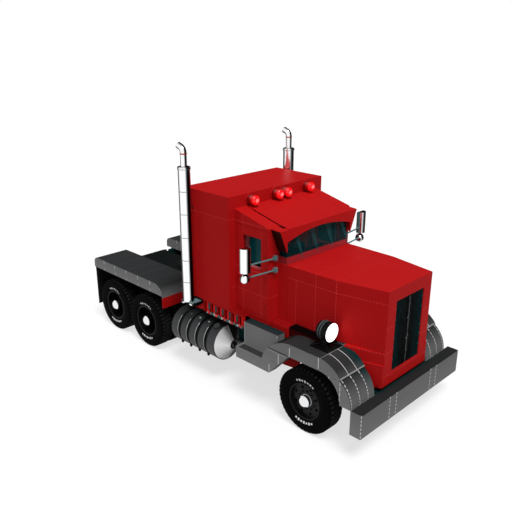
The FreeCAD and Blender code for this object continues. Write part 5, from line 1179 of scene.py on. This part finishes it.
TAIL_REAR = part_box("tail_lamps")[0].x
TAIL_Z = middle("tail_lamps").z
TAIL_CAP = [(0.0, 0.0335), (0.0014, 0.033), (0.0030, 0.024), (0.0036, 0.0)]
TAIL_RIM = [(-0.004, 0.0380), (-0.004, 0.0425), (0.0016, 0.0425), (0.0034, 0.0380), (0.0024, 0.0345)]
tail_glass = glowing("tail_glass", (0.62, 0.006, 0.008), (1.0, 0.02, 0.03), 0.35, 60.0)
for i, y in enumerate((-0.440, -0.330, 0.330, 0.440)):
    centre = (TAIL_REAR, y, TAIL_Z)
    fit(turned(f"tail_lens_{i + 1}", TAIL_CAP, centre, BACK, tail_glass, 28), "chassis")
    fit(turned(f"tail_rim_{i + 1}", TAIL_RIM, centre, BACK, bright_trim, 28), "chassis")


# ---------------------------------------------------------------- tank fittings and skirt latches
LATCH_CYCLE = 0.186     # length over which the latches' colours repeat


def latch_enamel():
    """Red, teal and bare metal in turn along the skirt, all lightly specked."""
    finish = Finish("latch_enamel")
    run = finish.x / LATCH_CYCLE % 1.0
    speck = finish.noise(60.0, 3.0)
    tone = finish.mix(run < 0.38, (0.02, 0.075, 0.078), (0.55, 0.012, 0.012))
    tone = finish.mix(run > 0.80, tone, (0.45, 0.47, 0.48))
    colour = finish.mix(speck.ramp(0.5, 0.8, 0.0, 0.4), tone, (0.01, 0.03, 0.03))
    return finish.coat(Base_Color=colour, Roughness=speck.ramp(0.3, 0.7, 0.3, 0.45),
                       Normal=finish.bump(speck, 0.1, 0.001))


def slot_shade_sheet():
    """Blue green painted shade for the skirt's slots, with crossed diagonals like wires in the upright plane
    along the skirt.
    """
    finish = Finish("slot_screen")
    wires = crossed(finish.x, finish.z, 900.0).ramp(-1.0, 1.0)
    return finish.coat(Base_Color=finish.mix(wires, (0.000, 0.115, 0.112), (0.000, 0.075, 0.072)),
                       Roughness=wires.ramp(0.0, 1.0, 0.5, 0.65), Normal=finish.bump(wires, 0.2, 0.001),
                       Specular_IOR_Level=0.05)


STUD_RISE = math.radians(68)        # angle of the ring studs above the tank's middle
BUCKLE_RISE = math.radians(-38)
NOSE_RING = [(0.0, 0.074), (0.0, 0.060), (0.006, 0.058), (0.006, 0.040), (0.0, 0.036)]
stud_white = dark_metal("stud_paint", (0.42, 0.43, 0.43), (0.24, 0.25, 0.25), 0.35, 30.0)
dark_bolt = dark_metal("strap_bolt", (0.006, 0.007, 0.007), (0.03, 0.03, 0.03), 0.35)
for label, side in SIDES:
    tank_y = side * TANK_Y
    stud_y = side * (TANK_Y + TANK_RADIUS * math.cos(STUD_RISE))
    stud_z = TANK_Z + TANK_RADIUS * math.sin(STUD_RISE)
    studs = [(ahead(BARREL_FRONT - RING_LENGTH / 2 - RING_PITCH * i), stud_y, stud_z) for i in (1, 2, 3)]
    outward = (0.0, side * math.cos(STUD_RISE), math.sin(STUD_RISE))
    fit(heads("tank_studs_" + label, studs, outward, 0.018, 0.012, stud_white, ROUND_HEAD, 10),
        "chassis")
    buckle_y = side * (TANK_Y + (TANK_RADIUS - 0.002) * math.cos(BUCKLE_RISE))
    buckle_z = TANK_Z + (TANK_RADIUS - 0.002) * math.sin(BUCKLE_RISE)
    for i, place in enumerate(GROOVES):
        buckle = block(f"strap_buckle_{label}_{i + 1}", (place - 0.022, buckle_y - 0.018, buckle_z - 0.050),
                       (place + 0.022, buckle_y + 0.018, buckle_z + 0.042), dark_bolt, 6.0, 10)
        fit(buckle, "chassis")
    centre = (TANK_NOSE + 0.0005, tank_y, TANK_Z)
    fit(turned("tank_nose_ring_" + label, NOSE_RING, centre, AHEAD, nut_steel, 36), "chassis")
    bolts = on_circle((TANK_NOSE, tank_y, TANK_Z), 0.066, 6, 1)
    fit(heads("tank_nose_bolts_" + label, bolts, AHEAD, 0.006, 0.005, dark_bolt), "chassis")

SKIRT_FACE = 1.096
LATCH_PITCH = 0.062
SLOT_FIRST = SKIRT_FRONT - RIB_PITCH - 0.064
SLOT_HALF = 0.0165
DRAIN = [(-0.030, 0.012), (-0.022, 0.013), (-0.020, 0.030), (-0.006, 0.044), (0.012, 0.047), (0.030, 0.040),
         (0.042, 0.024), (0.046, 0.0)]
latch = latch_enamel()
screen = slot_shade_sheet()
for label, side in SIDES:
    outward = (0, side, 0)
    row = [(ahead(-1.425 - LATCH_PITCH * i), side * SKIRT_FACE, 1.156 + 0.010 * (i % 2)) for i in range(14)]
    fit(heads("skirt_latches_" + label, row, outward, 0.027, 0.024, latch, ROUND_HEAD, 8), "chassis")
    row = [(ahead(-1.456 - LATCH_PITCH * i), side * SKIRT_FACE, 1.150) for i in range(14)]
    fit(heads("skirt_screws_" + label, row, outward, 0.014, 0.018, latch), "chassis")
    for i in range(5):
        slot = SLOT_FIRST - 2 * RIB_PITCH * i
        # A teal sheet of painted shade at the back of each slot.
        backing = [(slot + SLOT_HALF * a, z) for a, z in ((-1, 1.216), (1, 1.216), (1, 1.328), (-1, 1.328))]
        backing = prism(f"slot_screen_{label}_{i + 1}", backing, *span(side, 1.080, 1.0985), screen)
        fit(backing, "chassis")
    centre = (ahead(-2.545), side * 1.205, 1.258)
    drain = turned("stack_drain_" + label, DRAIN, centre, (0, side * 0.5, -0.86), bright_trim, 24)
    fit(drain, "chassis")
    row = [(ahead(-2.43 - 0.05 * i), side * 1.255, 1.312) for i in range(4)]
    fit(heads("stack_foot_bolts_" + label, row, UP, 0.014, 0.014, bright_trim), "chassis")


# ---------------------------------------------------------------- engine, radiator, coupling and rails
def pipe(name, path, radius, material, count, slot="cast"):
    """Tube on the chassis through points whose X is counted from the front axle."""
    fit(swept(name, [(ahead(x), y, z) for x, y, z in path], radius, material, count), "chassis")


def knob(name, profile, station, y, z, way, material, count, flutes=0, depth=0.0):
    """Turned piece on the chassis at a station ahead of the front axle."""
    piece = turned(name, profile, (ahead(station), y, z), way, material, count, flutes, depth)
    fit(piece, "chassis")


CYLINDERS = [-0.50 + 0.19 * i for i in range(6)]
ENGINE_COVER = 1.715        # height at which hoses and caps meet the engine's top
SNAIL = [(-0.075, 0.0), (-0.075, 0.060), (-0.060, 0.095), (-0.020, 0.118), (0.020, 0.118), (0.058, 0.092),
         (0.070, 0.052), (0.110, 0.048), (0.110, 0.0)]
CANISTER = [(0.0, 0.0), (0.0, 0.060), (0.010, 0.066), (0.180, 0.066), (0.190, 0.072), (0.215, 0.072),
            (0.225, 0.050), (0.228, 0.0)]
FILLER_CAP = [(0.0, 0.030), (0.030, 0.030), (0.032, 0.046), (0.052, 0.046), (0.056, 0.038), (0.056, 0.0)]
HEADER_CAP = [(0.0, 0.040), (0.022, 0.040), (0.024, 0.052), (0.044, 0.052), (0.050, 0.040), (0.050, 0.0)]
alloy = dark_metal("cover_alloy", (0.16, 0.165, 0.165), (0.07, 0.072, 0.072), 0.38, 24.0)
hose = moulded("hose_rubber", (0.012, 0.013, 0.014), 0.6, 160.0)
heat = dark_metal("manifold_iron", (0.060, 0.036, 0.026), (0.022, 0.016, 0.014), 0.6, 22.0)
for i, x in enumerate(CYLINDERS):
    cover = block(f"valve_cover_{i + 1}", (ahead(x) - 0.084, -0.150, 1.712), (ahead(x) + 0.084, 0.150, 1.806),
                  alloy, 7.0, 16)
    fit(cover, "chassis")
    pipe(f"intake_runner_{i + 1}",
         [(x, 0.415, 1.560), (x, 0.395, 1.625), (x, 0.345, 1.650), (x, 0.300, 1.650)], 0.032, alloy, 14)
    pipe(f"exhaust_runner_{i + 1}",
         [(x, -0.300, 1.480), (x, -0.345, 1.480), (x, -0.405, 1.455), (x, -0.425, 1.400)], 0.030, heat, 14)
places = [(ahead(x) + 0.060 * a, 0.128 * b, 1.790) for x in CYLINDERS for a, b in CORNERS]
fit(heads("valve_cover_bolts", places, UP, 0.010, 0.016, nut_steel), "chassis")
pipe("intake_manifold", [(x, 0.425, 1.545) for x in (-0.57, -0.30, 0.0, 0.30, 0.52)], 0.055, alloy, 18)
pipe("exhaust_manifold", [(x, -0.430, 1.385) for x in (-0.56, -0.30, 0.0, 0.30, 0.51)], 0.042, heat, 18)
knob("turbo_housing", SNAIL, -0.02, -0.470, 1.235, AHEAD, heat, 40)
pipe("turbo_neck", [(-0.02, -0.432, 1.385), (-0.02, -0.452, 1.330), (-0.02, -0.466, 1.270)], 0.036, heat, 14)
pipe("boost_pipe", [(0.07, -0.470, 1.235), (0.28, -0.478, 1.235), (0.44, -0.470, 1.300),
                    (0.520, -0.400, 1.420), (0.535, -0.250, 1.560)], 0.040, hose, 16, "rubber")
for i, station in enumerate((-0.42, -0.20, 0.02)):
    knob(f"oil_filter_{i + 1}", CANISTER, station, 0.400, 1.010, UP, iron, 32, 24, 0.012)
knob("oil_filler_cap", FILLER_CAP, 0.505, 0.215, ENGINE_COVER, UP, black_trim, 32, 12, 0.03)
knob("radiator_cap", HEADER_CAP, 0.632, 0.0, 2.058, UP, bright_trim, 32, 10, 0.03)
pipe("coolant_hose_upper", [(0.450, -0.200, ENGINE_COVER), (0.470, -0.200, 1.850), (0.530, -0.200, 1.930),
                            (0.580, -0.200, 1.945)], 0.034, hose, 16, "rubber")
pipe("breather_hose", [(-0.590, 0.060, ENGINE_COVER), (-0.610, 0.100, 1.800), (-0.590, 0.260, 1.790),
                       (-0.560, 0.340, 1.640), (-0.545, 0.400, 1.560)], 0.022, hose, 14, "rubber")
fins = slats("radiator_fins", (ahead(0.686), -0.318, 0.955), (ahead(0.697), 0.318, 2.030), 64, 0.4,
             black_trim)
fit(fins, "chassis")

COUPLING_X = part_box("fifth_wheel")[0].x + 0.450
SCREW_CIRCLE = 0.405
JAW = [(0.0, 0.0262), (0.0, 0.072), (-0.010, 0.072), (-0.012, 0.066), (-0.012, 0.0262)]
jaw = turned("kingpin_jaw", JAW, (COUPLING_X, 0.0, 1.3965), UP, nut_steel, 48)
fit(jaw, "coupling_plate")
around = np.radians([-62, -38, 38, 62, 90, 118, -90, -118])
places = np.stack([COUPLING_X + SCREW_CIRCLE * np.cos(around), SCREW_CIRCLE * np.sin(around),
                   np.full(8, 1.3945)], -1)
fit(heads("plate_screws", places, UP, 0.016, 0.006, nut_steel, ROUND_HEAD, 10), "coupling_plate")
places = [(COUPLING_X + 0.165 * a, side * (0.300 + 0.044 * b), 1.1335)
          for side in (-1, 1) for a in (-1, 1) for b in (-1, 0, 1)]
fit(heads("coupling_foot_bolts", places, UP, 0.013, 0.014, nut_steel), "chassis")
RAIL_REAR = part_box("frame_rails")[0].x
for label, side in SIDES:
    places = [(RAIL_REAR + 0.12 + 0.19 * i, side * 0.4295, z) for i in range(31) for z in (0.905, 1.045)]
    fit(heads("rail_bolts_" + label, places, (0, side, 0), 0.013, 0.012, nut_steel), "chassis")


# ---------------------------------------------------------------- mirrors
def mirror_silver():
    """Silvered glass with a faint film."""
    finish = Finish("mirror_silver")
    film = finish.noise(4.0, 3.0)
    return finish.coat(Base_Color=finish.mix(film.ramp(0.4, 0.7), (0.78, 0.80, 0.81), (0.70, 0.73, 0.75)),
                       Roughness=film.ramp(0.3, 0.7, 0.03, 0.06), Metallic=film.ramp(0.0, 0.1, 0.97, 1.0))


MIRROR_BACK = ahead(-1.045 - 0.018)
MIRROR_MIDDLE = 2.461
RIM_WALK = ((0.06, 1), (0.94, 1), (1, 0.94), (1, -0.94), (0.94, -1), (-0.94, -1), (-1, -0.94), (-1, 0.94),
            (-0.94, 1), (0, 1))
silver = mirror_silver()
for label, side in SIDES:
    mirror_y = side * MIRROR_Y
    glass = block("mirror_glass_" + label, (MIRROR_BACK - 0.005, mirror_y - 0.076, 2.287),
                  (MIRROR_BACK + 0.001, mirror_y + 0.076, 2.635), silver, 14.0, 24)
    fit(glass, "chassis")
    walk = [(MIRROR_BACK - 0.002, mirror_y + 0.078 * a, MIRROR_MIDDLE + 0.176 * b) for a, b in RIM_WALK]
    fit(swept("mirror_rim_" + label, walk, 0.006, black_trim, 8), "chassis")
    bolts = [(ahead(-0.935), side * (0.850 + 0.022 * a), z + 0.022 * b)
             for z in (2.186, 2.375) for a, b in CORNERS]
    fit(heads("mirror_foot_bolts_" + label, bolts, AHEAD, 0.006, 0.005, bright_trim), "chassis")


# ---------------------------------------------------------------- seats, bunk and cab fittings
def bellows(name, base, half_length, half_width, material):
    """Folded sleeve: a superellipse outline carried up, drawn in at every second step, closed at its ends."""
    height = np.pad(np.append(0.012 * np.arange(10), 0.118), 1, "edge")
    share = np.pad(np.where(np.arange(11) % 2 == 0, 1.0, 0.96), 1)
    angle = np.linspace(0, 2 * math.pi, 64, endpoint=False)
    square = (np.abs(np.cos(angle)) ** 8 + np.abs(np.sin(angle)) ** 8) ** (-1 / 8)
    wall = np.stack([half_length * np.cos(angle) * square, half_width * np.sin(angle) * square], -1)
    points = np.concatenate([share[:, None, None] * wall, np.repeat(height[:, None, None], 64, 1)], -1)
    return weld(grid_mesh(name, points + np.array(base), material, around=True))


cloth = woven("seat_cloth", (0.0010, 0.014, 0.016), (0.002, 0.024, 0.027))
piping = moulded("seat_piping", (0.002, 0.014, 0.015), 0.5)
bedding = woven("bunk_cloth", (0.0010, 0.012, 0.014), (0.002, 0.020, 0.023))
for label, side in SIDES:
    y0, y1 = span(side, 0.176, 0.664)
    pad("seat_cushion_" + label, (ahead(-1.742), y0, 1.566), (ahead(-1.276), y1, 1.712), "z", cloth,
        0.024, 0.010, 0.016, (-0.45, 0.0, 0.45))
    y0, y1 = span(side, 0.186, 0.654)
    pad("seat_back_" + label, (ahead(-1.742), y0, 1.712), (ahead(-1.612), y1, 2.150), "x", cloth,
        0.022, 0.010, 0.014, (-0.55, -0.15, 0.25), -0.06)
    y0, y1 = span(side, 0.290, 0.550)
    pad("head_rest_" + label, (ahead(-1.745), y0, 2.170), (ahead(-1.655), y1, 2.326), "x", cloth,
        0.014, 0.006, lean=-0.03)
    for i, y in enumerate((side * 0.36, side * 0.48)):
        pipe(f"head_rest_post_{label}_{i + 1}", [(-1.708, y, 2.10), (-1.704, y, 2.20)], 0.007, bright_trim, 8,
             "chrome")
    y0, y1 = span(side, 0.205, 0.635)
    plinth = block("seat_plinth_" + label, (ahead(-1.715), y0, 1.402), (ahead(-1.355), y1, 1.446), piping)
    fit(plinth, "chassis", "seats")
    sleeve = bellows("seat_bellows_" + label, (ahead(-1.535), side * 0.42, 1.446), 0.150, 0.185, piping)
    fit(sleeve, "chassis", "seats")

pad("bunk_mattress", (ahead(-2.778), -1.040, 1.690), (ahead(-2.086), 1.040, 1.848), "z", bedding,
    0.020, 0.012, channels=(-0.5, 0.0, 0.5))
pad("bunk_pillow", (ahead(-2.740), 0.560, 1.846), (ahead(-2.420), 1.020, 1.940), "z", cloth,
    0.036, 0.024)
bunk_base = block("bunk_base", (ahead(-2.778), -1.042, 1.402), (ahead(-2.092), 1.042, 1.688), piping, 14.0,
                  20)
fit(bunk_base, "chassis", "seats")

dome_glass = glowing("dome_glass", (0.9, 0.9, 0.86), (1.0, 0.98, 0.95), 14.0, 40.0)
for label, rear, front, low in (("front", -1.50, -1.30, 2.852), ("rear", -2.40, -2.20, 3.120)):
    dome = block("dome_lamp_" + label, (ahead(rear), -0.16, low), (ahead(front), 0.16, low + 0.030),
                 dome_glass, 6.0, 10)
    fit(dome, "chassis")


def dial_face():
    """Near black dial with pale ticks, a sine of the angle round a line across the dashboard."""
    finish = Finish("dial_face")
    ticks = (finish.y.math("ARCTAN2", finish.z - 2.13) * 9.0).math("SINE") > 0.6
    shine = finish.noise(30.0, 2.0)
    plain = finish.mix(shine, (0.004, 0.004, 0.004), (0.01, 0.01, 0.01))
    return finish.coat(Base_Color=finish.mix(ticks * 0.7, plain, (0.5, 0.52, 0.5)),
                       Roughness=shine.ramp(0.3, 0.7, 0.25, 0.4), Normal=finish.bump(ticks, 0.1, 0.001))


GAUGE_WAY = (-0.72, 0.0, 0.69)      # square to the sloping dashboard
GAUGE_CUP = [(0.0, 0.046), (0.008, 0.046), (0.010, 0.043), (0.006, 0.040)]
GAUGE_FACE = [(0.002, 0.0405), (0.004, 0.030), (0.0045, 0.0)]
dial = dial_face()
for i, y in enumerate((0.30, 0.40, 0.50, 0.60, 0.10, 0.20)):
    knob(f"gauge_cup_{i + 1}", GAUGE_CUP, -1.1985, y, 2.142, GAUGE_WAY, bright_trim, 28)
    knob(f"gauge_face_{i + 1}", GAUGE_FACE, -1.1985, y, 2.142, GAUGE_WAY, dial, 28)

# ---------------------------------------------------------------- light, floor and camera
SKY_FILL = 0.38
FLOOR_GLOW = 0.68
FLOOR_REACH = 60.0
BEHIND = (0.17, 0.98, 0.0)          # level direction to the far side of the studio
SUN_STRENGTH = 2.25
SUN_SPREAD = 24                     # degrees, as are the angles below
SUN_LEAN = (12, 24, 0)
VIEW_FROM = (ahead(4.982), -7.219, 5.476)
VIEW_ANGLE = 44.945
VIEW_DOWN = 19.41
VIEW_TURN = 44.91


def shown(finish, reflected, fill):
    """1 for camera and transmission rays, a given value for glossy rays, another one for the rest."""
    camera, glossy, passing = (finish.node("ShaderNodeLightPath", output=f"Is {kind} Ray")
                               for kind in ("Camera", "Glossy", "Transmission"))
    plain = camera.or_(passing)
    return plain + glossy * reflected + (1.0 - plain.or_(glossy)) * fill


def behind(finish, place, near, far, dim):
    """Falls from 1 to a dim grey as a place or direction goes to the far side of the studio."""
    along = finish.node("ShaderNodeVectorMath", {"operation": "DOT_PRODUCT"}, (place, BEHIND), "Value")
    return along.ramp(near, far, 1.0, dim)


class Surroundings(Finish):
    """The world's own node tree, with the tools of a finish."""

    def __init__(self, name):
        self.material = bpy.data.worlds.new(name)
        self.material.use_nodes = True
        self.tree = self.material.node_tree
        self.tree.nodes.clear()


scene = bpy.context.scene
scene.view_settings.view_transform = "Standard"

studio = Surroundings("studio")
way = studio.node("ShaderNodeTexCoord", output="Generated")
strength = shown(studio, behind(studio, way, -0.08, 0.34, 0.02), SKY_FILL)
sky = studio.node("ShaderNodeBackground", {}, {"Color": (1.0, 1.0, 1.0), "Strength": strength})
studio.node("ShaderNodeOutputWorld", {}, (sky,))
scene.world = studio.material

ground = Finish("studio_floor")
mirrored = behind(ground, ground.place, -1.2, 1.0, 0.60)
shade = ground.mix(shown(ground, mirrored, 1.0), BLACK, (0.36, 0.36, 0.36))
matte = ground.node("ShaderNodeBsdfDiffuse", {}, {"Color": shade})
strength = shown(ground, mirrored, 0.0) * FLOOR_GLOW
lift = ground.node("ShaderNodeEmission", {}, {"Color": (1.0, 1.0, 1.0), "Strength": strength})
whole = ground.node("ShaderNodeAddShader", {}, (matte, lift))
ground.node("ShaderNodeOutputMaterial", {}, (whole,))
corners = np.array([(-1, -1), (1, -1), (1, 1), (-1, 1)]) * FLOOR_REACH
corners = np.concatenate([corners, np.full((4, 1), -0.001)], 1)
floor = solid_mesh("studio_ground", corners, np.array([[0, 1, 2, 3]]), ground.material, smooth=False)

key = bpy.data.lights.new("key", "SUN")
key.energy = SUN_STRENGTH
key.angle = math.radians(SUN_SPREAD)
lamp = bpy.data.objects.new("key", key)
lamp.rotation_euler = [math.radians(angle) for angle in SUN_LEAN]
scene.collection.objects.link(lamp)

lens = bpy.data.cameras.new("viewer")
lens.angle = math.radians(VIEW_ANGLE)
viewer = bpy.data.objects.new("viewer", lens)
viewer.location = VIEW_FROM
viewer.rotation_euler = (math.radians(90 - VIEW_DOWN), 0, math.radians(VIEW_TURN))
scene.collection.objects.link(viewer)
scene.camera = viewer

bpy.context.view_layer.update()
